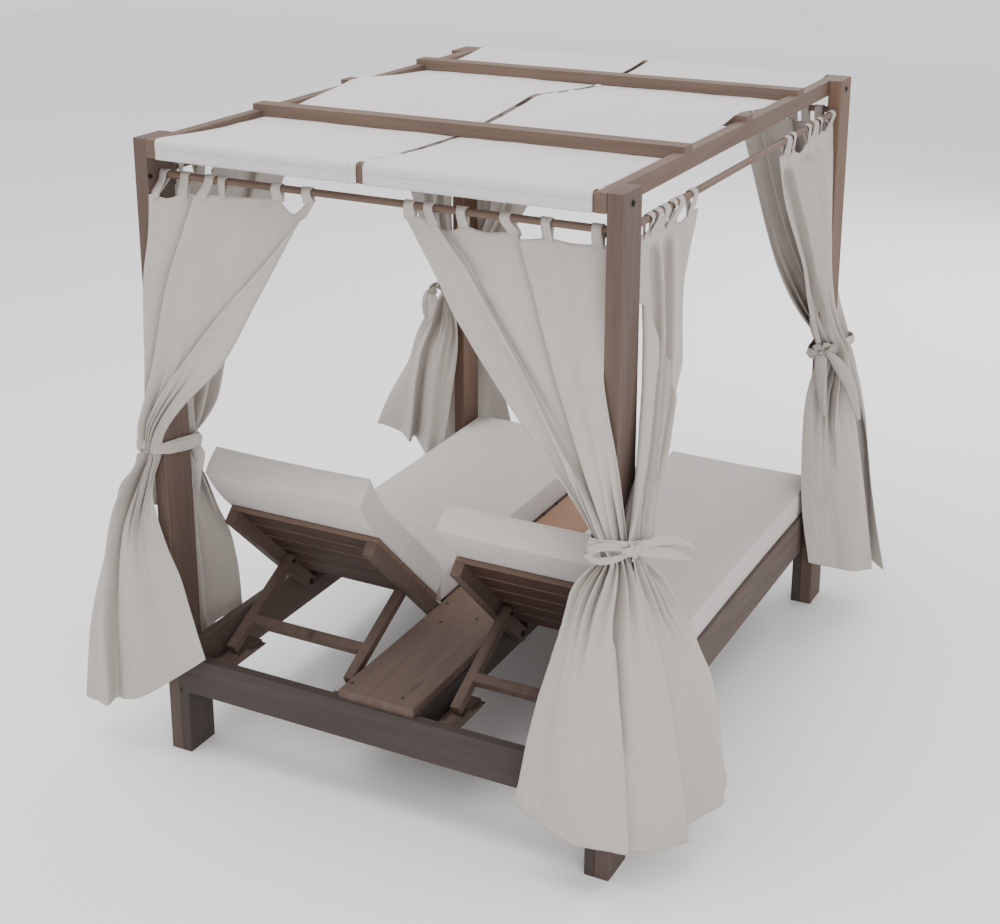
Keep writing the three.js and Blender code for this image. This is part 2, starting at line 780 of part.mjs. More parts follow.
// At each corner one curtain hangs from the end rod and one from the side rod. Their
// places run inward along the rod and outward from the outer corner of the post.
function makeCurtains() {
  const top = rodHeight - tabLength + curtainThick;
  const endRod = 2 * postInner;
  const sideRod = 2 * (halfLength - postDeep);
  for (const [endName, end] of ends) {
    for (const [sideName, side] of sides) {
      const shares = drawnShares[`${endName}_${sideName}`];
      const endSpec = {
        top,
        topNear: postWide + shares.end[0] * endRod,
        topFar: postWide + shares.end[1] * endRod,
        topOut: -postDeep / 2,
        knotNear: knotEndNear, knotFar: knotEndFar, knotOut: knotEndOut,
        hemNear: hemEndNear, hemFar: hemEndFar, hemOut: hemEndOut,
      };
      const onEnd = (a, out, z) => [side * (halfWidth - a), end * (halfLength + out), z];
      curtain(`curtain_${endName}_${sideName}_end`, endSpec, "x", end * (halfLength - postDeep / 2), onEnd);
      const sideSpec = {
        top,
        topNear: postDeep + shares.side[0] * sideRod,
        topFar: postDeep + shares.side[1] * sideRod,
        topOut: -postWide / 2,
        knotNear: postDeep + knotSideGap, knotFar: knotSideFar, knotOut: -postWide / 2,
        hemNear: hemSideNear, hemFar: hemSideFar, hemOut: hemSideOut,
      };
      const onSide = (a, out, z) => [side * (halfWidth + out), end * (halfLength - a), z];
      const sideRodX = side * (halfWidth - postWide / 2);
      curtain(`curtain_${endName}_${sideName}_side`, sideSpec, "y", sideRodX, onSide);
      makeSash(`sash_${endName}_${sideName}`, side, end);
    }
  }
}

// A band round the post and its two bundles, with a bow on its outer side.
function makeSash(name, side, end) {
  const slack = foldKnot + curtainThick / 2 + sashGap;
  const outerX = knotEndNear - sashGap;
  const innerX = postWide + fit;
  const outerY = -knotEndOut - slack;
  const innerY = knotSideFar + sashGap;
  const band = (grow) => [
    [outerX - grow, outerY - grow], [innerX + grow, outerY - grow],
    [innerX + grow, innerY + grow], [outerX - grow, innerY + grow],
  ].map(([a, b]) => new THREE.Vector2(side * (halfWidth - a), end * (halfLength - b)));
  const low = knotHeight - sashHeight / 2;
  const ring = solid(extruded(holed(band(sashThick), band(0)), "z", low, low + sashHeight));
  const bow = new THREE.IcosahedronGeometry(1, 1);
  bow.scale(...bowSize);
  const bowX = halfWidth - outerX + sashThick + bowSize[0] / 2;
  bow.translate(side * bowX, end * (halfLength - postDeep / 2), knotHeight);
  place(name, ring.add(solid(bow)), clothCurtain);
}

makeFrame();
makeRails();
makeSeatDecks();
makeBackrests();
makeProps();
makeCleats();
makeRoof();
makeRods();
makeCanopy();
makeCushions();
makeCurtains();

export default daybed;
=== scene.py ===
# Outdoor daybed with a canopy: the looks of its wood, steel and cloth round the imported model.
# Metres, +Z up. The head end is toward -Y and the foot end toward +Y.

import math

import bmesh
import bpy
from mathutils import Matrix, Vector, noise


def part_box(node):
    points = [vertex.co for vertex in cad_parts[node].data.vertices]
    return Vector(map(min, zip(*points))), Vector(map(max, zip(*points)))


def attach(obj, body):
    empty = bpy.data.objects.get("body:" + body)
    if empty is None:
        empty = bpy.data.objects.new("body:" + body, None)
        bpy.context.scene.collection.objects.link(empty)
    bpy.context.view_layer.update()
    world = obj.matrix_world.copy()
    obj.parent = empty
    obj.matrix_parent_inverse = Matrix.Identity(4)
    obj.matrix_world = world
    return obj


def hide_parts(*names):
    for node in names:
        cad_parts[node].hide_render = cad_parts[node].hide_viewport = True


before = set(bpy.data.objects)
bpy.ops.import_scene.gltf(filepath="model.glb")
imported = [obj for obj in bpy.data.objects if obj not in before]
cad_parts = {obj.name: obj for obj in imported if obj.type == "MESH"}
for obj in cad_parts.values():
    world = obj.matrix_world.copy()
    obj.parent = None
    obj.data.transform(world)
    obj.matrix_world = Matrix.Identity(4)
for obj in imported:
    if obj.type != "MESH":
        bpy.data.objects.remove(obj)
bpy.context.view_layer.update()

ROOT = "frame"
SIDES = (("left", -1), ("right", 1))
ENDS = (("head", -1), ("foot", 1))

# Sizes of the frame, read from its boards
post_low, post_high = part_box("post_head_right")
HALF_WIDTH = post_high.x
HALF_LENGTH = -post_low.y
POST_WIDE = post_high.x - post_low.x
POST_DEEP = post_high.y - post_low.y
POST_INNER = post_low.x
ROOF_TOP = post_high.z
beam_low, beam_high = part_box("roof_beam_head")
BEAM_THICK = beam_high.y - beam_low.y
rod_low, rod_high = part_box("curtain_rod_head")
ROD_RADIUS = (rod_high.z - rod_low.z) / 2
ROD_Z = (rod_high.z + rod_low.z) / 2
PLANK_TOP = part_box("centre_plank")[1].z
bolt_low, bolt_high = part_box("backrest_bolt_outer_right")
PIVOT_Y = (bolt_low.y + bolt_high.y) / 2
PIVOT_Z = (bolt_low.z + bolt_high.z) / 2

# The lean of the backrests at rest, and the faces of their slats above the pivots
BACKREST_LEAN = math.radians(45)
SLAT_UNDER = 0.0215
SLAT_TOP = 0.0395

COARSE = 1

# Camera at the photograph's viewing angle
CAMERA_PLACE = (2.35472, -4.73145, 2.96398)
CAMERA_AZIMUTH = math.radians(26.927)
CAMERA_DOWN = math.radians(17.193)
CAMERA_ROLL = math.radians(0.129)
CAMERA_LENS = 60.005
CAMERA_SHIFT = (-0.01356, -0.15772)


def make_camera():
    ahead = Vector((
        -math.sin(CAMERA_AZIMUTH) * math.cos(CAMERA_DOWN),
        math.cos(CAMERA_AZIMUTH) * math.cos(CAMERA_DOWN),
        -math.sin(CAMERA_DOWN),
    ))
    level = ahead.cross(Vector((0, 0, 1))).normalized()
    upright = level.cross(ahead)
    right = math.cos(CAMERA_ROLL) * level + math.sin(CAMERA_ROLL) * upright
    up = math.cos(CAMERA_ROLL) * upright - math.sin(CAMERA_ROLL) * level
    data = bpy.data.cameras.new("camera")
    data.sensor_width = 36
    data.lens = CAMERA_LENS
    data.shift_x, data.shift_y = CAMERA_SHIFT
    camera = bpy.data.objects.new("camera", data)
    turn = Matrix((right, up, -ahead)).transposed()
    camera.matrix_world = Matrix.Translation(CAMERA_PLACE) @ turn.to_4x4()
    bpy.context.scene.collection.objects.link(camera)
    bpy.context.scene.camera = camera


# Each light is its name, its place, what it is aimed at, its size, its power and its colour
LIGHTS = [
    ("key", (-1.2, -1.6, 7.0), (0, 0, 0.8), 4.5, 300, (1.0, 0.99, 0.97)),
    ("fill", (4.6, -5.4, 3.2), (0, 0, 0.8), 4.0, 165, (1.0, 0.985, 0.97)),
    ("back", (1.2, 6.2, 4.0), (0, 0.2, 0.4), 4.0, 230, (1.0, 0.99, 0.98)),
]
SKY_COLOUR = (0.99, 0.98, 0.98, 1)
SKY_STRENGTH = 1.15
FLOOR_COLOUR = (0.93, 0.93, 0.93, 1)
FLOOR_REACH = 14


def make_studio():
    world = bpy.data.worlds.new("studio")
    bpy.context.scene.world = world
    world.use_nodes = True
    background = world.node_tree.nodes["Background"]
    background.inputs["Color"].default_value = SKY_COLOUR
    background.inputs["Strength"].default_value = SKY_STRENGTH
    for name, place, aim, size, power, tint in LIGHTS:
        data = bpy.data.lights.new(name, "AREA")
        data.shape = "DISK"
        data.size = size
        data.energy = power
        data.color = tint
        light = bpy.data.objects.new(name, data)
        light.location = place
        light.rotation_mode = "QUATERNION"
        light.rotation_quaternion = (Vector(aim) - Vector(place)).to_track_quat("-Z", "Y")
        bpy.context.scene.collection.objects.link(light)
    paint = Finish("floor_paint", roughness=0.9, specular=0.5)
    paint.set("Base Color", FLOOR_COLOUR)
    bm = bmesh.new()
    bmesh.ops.create_grid(bm, x_segments=1, y_segments=1, size=FLOOR_REACH)
    make_object("floor", bm, paint.material)


# Materials
class Value:
    """A socket of a material. Arithmetic on it adds Math nodes."""

    def __init__(self, finish, socket):
        self.finish = finish
        self.socket = socket

    def __add__(self, other):
        return self.finish.maths("ADD", self, other)

    def __radd__(self, other):
        return self.finish.maths("ADD", other, self)

    def __sub__(self, other):
        return self.finish.maths("SUBTRACT", self, other)

    def __rsub__(self, other):
        return self.finish.maths("SUBTRACT", other, self)

    def __mul__(self, other):
        return self.finish.maths("MULTIPLY", self, other)

    def __rmul__(self, other):
        return self.finish.maths("MULTIPLY", other, self)


class Finish:
    """A material with one Principled shader, and the nodes that feed it."""

    def __init__(self, name, roughness, specular):
        self.material = bpy.data.materials.new(name)
        self.material.use_nodes = True
        self.tree = self.material.node_tree
        self.shader = self.tree.nodes["Principled BSDF"]
        self.set("Roughness", roughness)
        self.set("Specular IOR Level", specular)

    def node(self, kind, settings=None, inputs=None, output=0):
        made = self.tree.nodes.new(kind)
        for key, value in (settings or {}).items():
            setattr(made, key, value)
        for key, value in (inputs or {}).items():
            self.feed(made.inputs[key], value)
        return Value(self, made.outputs[output])

    def feed(self, socket, value):
        if isinstance(value, Value):
            self.tree.links.new(value.socket, socket)
        else:
            socket.default_value = value

    def set(self, name, value):
        self.feed(self.shader.inputs[name], value)

    def maths(self, operation, *values):
        return self.node("ShaderNodeMath", {"operation": operation}, dict(enumerate(values)))

    def mix(self, share, first, second):
        inputs = {0: share, 6: first, 7: second}
        return self.node("ShaderNodeMix", {"data_type": "RGBA"}, inputs, output=2)

    def between(self, value, low, high):
        """0 below low and 1 above high, with a smooth rise between them."""
        settings = {"interpolation_type": "SMOOTHSTEP"}
        return self.node("ShaderNodeMapRange", settings, {0: value, 1: low, 2: high})

    def place(self):
        """The point of the piece, on its Object coordinates."""
        return self.node("ShaderNodeTexCoord", output="Object")

    def along(self, place, axis):
        """How far a point lies along one axis: 0, 1 or 2."""
        return self.node("ShaderNodeSeparateXYZ", None, {0: place}, output=axis)

    def mapped(self, place, scale=(1, 1, 1), shift=(0, 0, 0), turn=(0, 0, 0)):
        inputs = {"Vector": place, "Scale": scale, "Location": shift, "Rotation": turn}
        return self.node("ShaderNodeMapping", None, inputs)

    def noise(self, place, scale, detail, roughness=0.5):
        inputs = {"Vector": place, "Scale": scale, "Detail": detail, "Roughness": roughness}
        return self.node("ShaderNodeTexNoise", None, inputs)

    def surface(self, base, roughness, height, distance, strength):
        """Sets the colour, the roughness and the relief of the whole surface."""
        relief = {"Height": height, "Distance": distance, "Strength": strength}
        self.set("Base Color", base)
        self.set("Roughness", roughness)
        self.set("Normal", self.node("ShaderNodeBump", None, relief))
        return self.material


def colour(red, green, blue):
    """A colour given as the eye sees it, 0 to 255, in linear light."""
    def linear(level):
        share = level / 255
        return share / 12.92 if share <= 0.04045 else ((share + 0.055) / 1.055) ** 2.4
    return (linear(red), linear(green), linear(blue), 1)


# The light and the dark streaks of each board
WOOD_TONES = {
    "post": (colour(94, 78, 70), colour(81, 66, 59)),
    "beam": (colour(107, 88, 77), colour(91, 74, 64)),
    "top": (colour(112, 92, 81), colour(95, 77, 67)),
    "foot_post": (colour(107, 83, 68), colour(91, 70, 57)),
    "plank": (colour(95, 79, 71), colour(82, 68, 61)),
    "rail": (colour(92, 78, 71), colour(78, 65, 59)),
    # dark is the same wood painted darker, as painted shade, for the end rails, leg blocks and centre
    # beams; the posts also fade into it towards the ground
    "dark": (colour(65, 56, 53), colour(55, 47, 44)),
    # slat is a dark reddish copy of the wood, painted shade from the cushions over the seat deck and the
    # backrest slats
    "slat": (colour(72, 50, 41), colour(56, 38, 31)),
}
KNOT_COLOUR = colour(50, 38, 33)

# A fade is its axis, the places where it starts and where it is full, its share and its colour
POST_FADE = (2, 0.9, 0.0, 0.5, WOOD_TONES["dark"][0])
PLANK_FADE = (1, -0.7, 0.5, 0.85, colour(158, 122, 97))
WOOD_RELIEF = 0.0007
made_woods = {}


def wood_pattern(finish, place, tone, grain, seed):
    """The colour, height and fibre of stained softwood with its grain along one axis."""
    def stretched(lengthwise, across):
        scale = [lengthwise if axis == grain else across for axis in "xyz"]
        return finish.mapped(place, scale, (seed * 0.37, seed * 0.61, seed * 0.83))

    fibre = finish.noise(stretched(3, 120), 1, detail=5, roughness=0.62)
    flame = finish.noise(stretched(0.6, 7), 1, detail=2, roughness=0.4)
    rings = finish.maths("SINE", flame * 40) * 0.5 + 0.5
    patch = finish.noise(stretched(1.2, 3), 1, detail=3)
    knot_place = {"Vector": stretched(1.7, 7.5), "Scale": 1}
    knots = 1 - finish.between(finish.node("ShaderNodeTexVoronoi", None, knot_place), 0.05, 0.13)
    shade = finish.between(rings * 0.16 + fibre * 0.62 + patch * 0.5, 0.36, 0.92)
    base = finish.mix(knots * 0.5, finish.mix(shade, *WOOD_TONES[tone]), KNOT_COLOUR)
    return base, fibre * 0.8 + rings * 0.12 - knots * 0.3, fibre


def wood(tone, grain, seed=0, fade=None):
    """The finish of a board."""
    key = f"wood_{tone}_{grain}_{seed}"
    if key not in made_woods:
        finish = Finish(key, roughness=0.7, specular=0.35)
        place = finish.place()
        base, height, fibre = wood_pattern(finish, place, tone, grain, seed)
        if fade:
            axis, start, full, share, faded = fade
            amount = finish.between(finish.along(place, axis), start, full) * share
            base = finish.mix(amount, base, faded)
        made_woods[key] = finish.surface(base, 0.6 + fibre * 0.22, height, WOOD_RELIEF, 0.45)
    return made_woods[key]


def backrest_wood(seed):
    """Rails along the lean of the backrest, and slats across it whose lower faces carry painted shade in
    the dark slat tone and whose faces above carry a painted highlight.
    """
    finish = Finish(f"wood_backrest_{seed}", roughness=0.7, specular=0.35)
    place = finish.place()
    leaning = finish.mapped(place, turn=(BACKREST_LEAN, 0, 0))
    pivot_height = PIVOT_Y * math.sin(BACKREST_LEAN) + PIVOT_Z * math.cos(BACKREST_LEAN)
    above = finish.along(leaning, 2) - (pivot_height + SLAT_UNDER)
    rail, rail_height, _ = wood_pattern(finish, leaning, "post", "y", seed)
    slat, slat_height, fibre = wood_pattern(finish, place, "slat", "x", seed)
    # Painted highlight on the slats from just above their lower faces, whose dark slat tone is painted
    # shade; below those faces the rails keep their own pattern
    painted_highlight = finish.between(above, 0.0002, 0.0012)
    in_slats = finish.between(above, -0.0008, -0.0002)
    slat = finish.mix(painted_highlight * 0.75, slat, WOOD_TONES["top"][0])
    base = finish.mix(in_slats, rail, slat)
    return finish.surface(base, 0.6 + fibre * 0.22, rail_height + slat_height, WOOD_RELIEF, 0.3)


def steel():
    """Blackened screws and bolts."""
    finish = Finish("dark_steel", roughness=0.5, specular=0.5)
    speckle = finish.noise(finish.place(), 900, detail=3)
    finish.set("Metallic", 0.8)
    base = finish.mix(speckle, colour(28, 26, 26), colour(52, 48, 46))
    return finish.surface(base, 0.4 + speckle * 0.25, speckle, 0.0002, 0.5)


THREAD_PITCH = 0.0011
STITCH_PITCH = 0.0045
SIDE_HEM = 0.026
END_HEM = 0.034
# From a row of stitching, how far its groove is deep and where it ends, and how its sine is cut
GROOVE = (0.0006, 0.0022)
STITCH_CUT = (-0.4, 0.2)
CLOTH_RELIEF = 0.0009
# The painted shade in the grooves of the seams, and the thread's own colour
SEAM_SHADE_COLOUR = colour(122, 117, 111)
THREAD_COLOUR = colour(205, 202, 197)


def cloth(name, light, dark, seamed=False):
    """Plain-woven outdoor canvas. Its weave follows the piece's own map, in metres, and its
    stitching runs a hem's width from its edges."""
    finish = Finish(name, roughness=0.9, specular=0.25)
    finish.set("Sheen Weight", 0.15)
    finish.set("Sheen Roughness", 0.5)
    place = finish.node("ShaderNodeUVMap", {"uv_map": "cloth"})

    def wave(axis, pitch):
        """A sine along one axis of the cloth, once every pitch."""
        return finish.maths("SINE", finish.along(place, axis) * (2 * math.pi / pitch))

    weave = (wave(0, THREAD_PITCH) * 0.5 + 0.5) * (wave(1, THREAD_PITCH) * 0.5 + 0.5)
    slub = finish.noise(finish.mapped(place, (9, 260, 1)), 1, detail=3)
    cross = finish.noise(finish.mapped(place, (260, 9, 1)), 1, detail=3)
    mottle = finish.noise(place, 5, detail=4, roughness=0.6)
    creases = finish.noise(place, 24, detail=5, roughness=0.62)
    shade = (slub + cross) * 0.32 + mottle * 0.45
    base = finish.mix(finish.between(shade, 0.3, 0.75), dark, light)
    height = weave * 0.25 + (slub + cross) * 0.35 + creases * 3.4
    if seamed:
        grooves = []
        stitches = []
        for edge_name, hem, axis in (("side_edge", SIDE_HEM, 1), ("hem_edge", END_HEM, 0)):
            edge = finish.node("ShaderNodeAttribute", {"attribute_name": edge_name}, output="Fac")
            groove = 1 - finish.between(finish.maths("ABSOLUTE", edge - hem), *GROOVE)
            grooves.append(groove)
            stitches.append(groove * finish.between(wave(axis, STITCH_PITCH), *STITCH_CUT))
        seam = finish.maths("MAXIMUM", *grooves)
        thread = finish.maths("MAXIMUM", *stitches)
        # Painted shade darkens the seams' grooves, and the stitches take their thread's colour
        base = finish.mix(seam * 0.22, base, SEAM_SHADE_COLOUR)
        base = finish.mix(thread * 0.35, base, THREAD_COLOUR)
        height = height - seam * 1.6 + thread * 0.8
    return finish.surface(base, 0.86 + mottle * 0.1, height, CLOTH_RELIEF, 0.6)


# Helpers for new pieces
def ease(share):
    """0 to 1 with a soft start and a soft stop."""
    share = min(max(share, 0.0), 1.0)
    return share * share * (3 - 2 * share)


def mix(first, second, share):
    return first + (second - first) * share


def uneven(x, y, z):
    """A smooth random value round 0, the same on each run."""
    return noise.noise(Vector((x, y, z)))


def blend_three(first, middle, last, share):
    """A point on the parabola through three values."""
    early = (1 - share) * (1 - 2 * share)
    late = share * (2 * share - 1)
    return first * early + middle * (4 * share * (1 - share)) + last * late


def through(rows, level):
    """The point at a level on a smooth curve through rows of (level, x, y, z)."""
    last = len(rows) - 2
    row = 0
    while row < last and level > rows[row + 1][0]:
        row += 1
    start, stop = rows[row], rows[row + 1]
    before = rows[row - 1] if row > 0 else start
    after = rows[row + 2] if row < last else stop
    span = stop[0] - start[0]
    share = min(max((level - start[0]) / span, 0.0), 1.0)
    square, cube = share * share, share * share * share
    point = []
    for k in (1, 2, 3):
        leave = (stop[k] - before[k]) / (stop[0] - before[0]) * span
        arrive = (after[k] - start[k]) / (after[0] - start[0]) * span
        point.append(
            start[k] * (2 * cube - 3 * square + 1) + leave * (cube - 2 * square + share)
            + stop[k] * (3 * square - 2 * cube) + arrive * (cube - square)
        )
    return Vector(point)


def run_length(points):
    return sum((stop - start).length for start, stop in zip(points, points[1:]))


def lay_grid(bm, columns, rows, size, place, hems=None):
    """Adds a sheet of cloth: place(across, down) gives each point, with both shares 0 to 1.
    hems(across, down, point) gives how far a point is from the sheet's side and from its end."""
    uv = bm.loops.layers.uv.get("cloth") or bm.loops.layers.uv.new("cloth")
    if hems:
        side_edge = bm.verts.layers.float.new("side_edge")
        hem_edge = bm.verts.layers.float.new("hem_edge")
    made = bmesh.ops.create_grid(bm, x_segments=columns, y_segments=rows, size=0.5)["verts"]
    for face in {face for vert in made for face in vert.link_faces}:
        face.smooth = True
        for loop in face.loops:
            across, up = loop.vert.co.x + 0.5, loop.vert.co.y + 0.5
            loop[uv].uv = (across * size[0], up * size[1])
    for vert in made:
        across, down = vert.co.x + 0.5, 0.5 - vert.co.y
        vert.co = place(across, down)
        if hems:
            vert[side_edge], vert[hem_edge] = hems(across, down, vert.co)


def leave_unstitched(bm):
    """Puts every point far from a hem, on cloth whose stitching doesn't show."""
    for name in ("side_edge", "hem_edge"):
        layer = bm.verts.layers.float.new(name)
        for vert in bm.verts:
            vert[layer] = 1.0


def make_object(name, bm, material):
    mesh = bpy.data.meshes.new(name)
    bm.to_mesh(mesh)
    bm.free()
    mesh.materials.append(material)
    made = bpy.data.objects.new(name, mesh)
    bpy.context.scene.collection.objects.link(made)
    return made


def make_piece(name, bm, material, body=ROOT):
    piece = make_object(name, bm, material)
    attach(piece, body)
    return piece


def thicken(piece, thickness):
    modifier = piece.modifiers.new("thickness", "SOLIDIFY")
    modifier.thickness = thickness
    modifier.offset = 0


class Corner:
    """A corner of the frame. A place near its post is p inward from the post's outer side
    face, q inward from its end face, and z."""

    def __init__(self, end_name, end, side_name, side):
        self.name = f"{end_name}_{side_name}"
        self.rods = {"end": f"curtain_rod_{end_name}", "side": f"curtain_rod_{side_name}"}
        self.end = end
        self.side = side

    def world(self, p, q, z):
        return Vector((self.side * (HALF_WIDTH - p), self.end * (HALF_LENGTH - q), z))


# Curtains. The weave and the hems of each are laid out on cloth of this width and length.
CLOTH_THICK = 0.0016
CURTAIN_WIDE = 0.74
CURTAIN_LONG = 1.74
CURTAIN_CELLS = (132, 170)
FLOOR_GAP = 0.02
# Levels over which a fold fades in and out, and the lift that makes its crest as high as it says
FOLD_FADE = 0.06
CREST_LIFT = 1.65
# How far above and below the sash the cloth is gathered, in levels
GATHER_ABOVE = 0.24
GATHER_BELOW = 0.25
GATHER_SHIFT = 0.014
# The roll where a margin turns back, as a share of the width, and how far it stands out
TURN_ROLL = 0.02
TURN_LIFT = 0.018
# The level down to which the top edge sags between its tabs
SAG_DEPTH = 0.16
# The heights of broad and fine creases, and the height and reach of the puckers along hems
BROAD_CREASE = 0.006
FINE_CREASE = 0.0016
SIDE_PUCKER = 0.0035
SIDE_PUCKER_REACH = 0.016
END_PUCKER = 0.003
END_PUCKER_REACH = 0.018
TAB_WIDE = 0.036
TAB_LONG = 0.16
TAB_CELLS = (4, 22)
# The share of half a tab that lies round its rod, and the gap between them
TAB_ON_ROD = 0.64
TAB_GAP = 0.0022
# How far a tab slants and narrows, and where its ends meet the curtain
TAB_SLANT = 0.35
TAB_NARROWING = 0.22
TAB_OVERLAP = 0.012
TAB_APART = 0.0015


class Fold:
    """A fold that runs down a curtain between two levels. places, wides, highs and laps are
    each given at its start and its end: where it lies and how wide it is, as shares of the
    width that is seen, how far it stands out, and how far the cloth doubles back. A positive
    height lifts its far side outward. A ridge lifts its middle and doesn't double back."""

    def __init__(self, levels, places, wides, highs, laps=(0, 0), ridge=False):
        self.levels = levels
        self.places = places
        self.wides = wides
        self.highs = highs
        self.laps = laps
        self.ridge = ridge

    def at(self, across, level):
        """The shift across and the lift outward at a point."""
        start, stop = self.levels
        rise = ease((level - start + FOLD_FADE) / FOLD_FADE)
        present = rise * ease((stop + FOLD_FADE - level) / FOLD_FADE)
        share = min(max((level - start) / (stop - start), 0.0), 1.0)
        wide = mix(*self.wides, share)
        reach = (across - mix(*self.places, share)) / wide
        if present == 0 or abs(reach) > 5:
            return 0.0, 0.0
        bell = math.exp(-reach * reach / 2) * present
        high = mix(*self.highs, share) * bell
        if self.ridge:
            return 0.0, high
        return -mix(*self.laps, share) * wide * reach * bell, high * reach * CREST_LIFT


class Curtain:
    """How one curtain hangs, on its end rod or its side rod. near, middle and far are curves of
    (level, p, q, z): level 0 is its top edge, 1 the sash and 2 the hem. near is the margin at
    its post. span has the places of its two margins along the rod, tabs those of its tabs, and
    sags how far the top edge hangs between one tab and the next. turned gives the share of a
    margin that is folded back over the front, as rows of (level, share): the far margin's
    where turn_side is 1, and the near one's where it is -1."""

    def __init__(self, rod, near, middle, far, span, tabs, sags, folds, seed,
                 turned=(), turn_side=1, gather=0.017):
        self.rod = rod
        self.near = near
        self.middle = middle
        self.far = far
        self.tabs = [(place, (place - span[0]) / (span[1] - span[0])) for place in tabs]
        self.sags = sags
        self.folds = folds
        self.seed = seed
        self.turned = [(level, share, 0, 0) for level, share in turned]
        self.turn_side = turn_side
        self.gather = gather

    def base(self, across, level):
        """A point of the cloth without its folds, and the way the cloth runs there."""
        near, middle, far = (through(rows, level) for rows in (self.near, self.middle, self.far))
        slope = near * (4 * across - 3) + middle * (4 - 8 * across) + far * (4 * across - 1)
        return blend_three(near, middle, far, across), slope

    def turn_back(self, across, level):
        """Folds a margin back over the front of the curtain, round a soft roll: gives where the
        point is then seen, and its lift."""
        rows = self.turned
        if not rows or not rows[0][0] < level < rows[-1][0]:
            return across, 0.0
        share = through(rows, level).x
        if share <= 0:
            return across, 0.0
        along = across if self.turn_side > 0 else 1 - across
        beyond = along * (1 + share) - 1
        eased = math.sqrt(beyond * beyond + TURN_ROLL * TURN_ROLL)
        lift = 0.5 * (1 + beyond / eased) * TURN_LIFT
        return (1 - eased if self.turn_side > 0 else eased), lift

    def top_sag(self, across):
        """How far the top edge hangs down between its tabs."""
        places = [place for _, place in self.tabs]
        for start, stop, sag in zip(places, places[1:], self.sags):
            if start <= across <= stop:
                share = (across - start) / (stop - start)
                return sag * (1 - abs(2 * share - 1) ** 1.5)
        return 0.0

    def point(self, across, level):
        """(p, q, z) of a point of the cloth."""
        placed, lift = self.turn_back(across, level)
        shift = 0.0
        for fold in self.folds:
            moved, raised = fold.at(placed, level)
            shift += moved
            lift += raised
        near_sash = math.exp(-((level - 1) / (GATHER_ABOVE if level < 1 else GATHER_BELOW)) ** 2)
        wander = 0.75 * math.sin(2 * math.pi * (1.15 * placed + self.seed * 0.37))
        phase = 2 * math.pi * (7 * placed + wander)
        strength = 1 + 0.55 * math.sin(2 * math.pi * (2.3 * placed + self.seed * 0.61))
        gathers = strength * (math.sin(phase) + 0.3 * math.sin(2 * phase + 1))
        lift += self.gather * near_sash * gathers
        shift += GATHER_SHIFT * near_sash * math.cos(phase)
        lift += self.wrinkle(across, level)
        point, slope = self.base(placed + shift, level)
        flat = Vector((slope.x, slope.y))
        flat = flat.normalized() if flat.length > 1e-6 else Vector((1, 0))
        facing = 1 if self.rod == "end" else -1
        point.x += facing * flat.y * lift
        point.y -= facing * flat.x * lift
        point.z -= self.top_sag(across) * max(0.0, 1 - level / SAG_DEPTH) ** 2
        return point

    def wrinkle(self, across, level):
        """The small creases of the cloth and the puckers along its hems."""
        place = Vector((across * 5 + self.seed * 3, level * 2.2, self.seed * 1.7))
        broad = noise.noise(place) * BROAD_CREASE
        fine = noise.fractal(place * 3.1, 0.9, 2.1, 3) * FINE_CREASE
        side = min(across, 1 - across) * CURTAIN_WIDE
        near_side = math.exp(-((side - SIDE_HEM) / SIDE_PUCKER_REACH) ** 2)
        side_puckers = near_side * uneven(level * 46, self.seed, across * 2) * SIDE_PUCKER
        end = (2 - level) * CURTAIN_LONG / 2
        near_end = math.exp(-((end - END_HEM) / END_PUCKER_REACH) ** 2)
        end_puckers = near_end * uneven(across * 26, self.seed + 4, 0) * END_PUCKER
        return broad + fine + side_puckers + end_puckers


def make_curtain(corner, spec, material):
    name = f"curtain_{corner.name}_{spec.rod}"
    bm = bmesh.new()

    def place(across, down):
        p, q, z = spec.point(across, 2 * down)
        return corner.world(p, q, max(z, FLOOR_GAP))

    def hems(across, down, point):
        return min(across, 1 - across) * CURTAIN_WIDE, (1 - down) * CURTAIN_LONG

    columns, rows = (cells // COARSE for cells in CURTAIN_CELLS)
    lay_grid(bm, columns, rows, (CURTAIN_WIDE, CURTAIN_LONG), place, hems)
    piece = make_piece(f"cloth_{name}", bm, material)
    thicken(piece, CLOTH_THICK)
    tabs = make_tabs(corner, spec, f"tabs_{name}", material)
    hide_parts(name)
    steps = [step / 60 for step in range(61)]
    wide = run_length([spec.point(share, 0.0) for share in steps])
    long = run_length([spec.point(0.5, 2 * share) for share in steps])


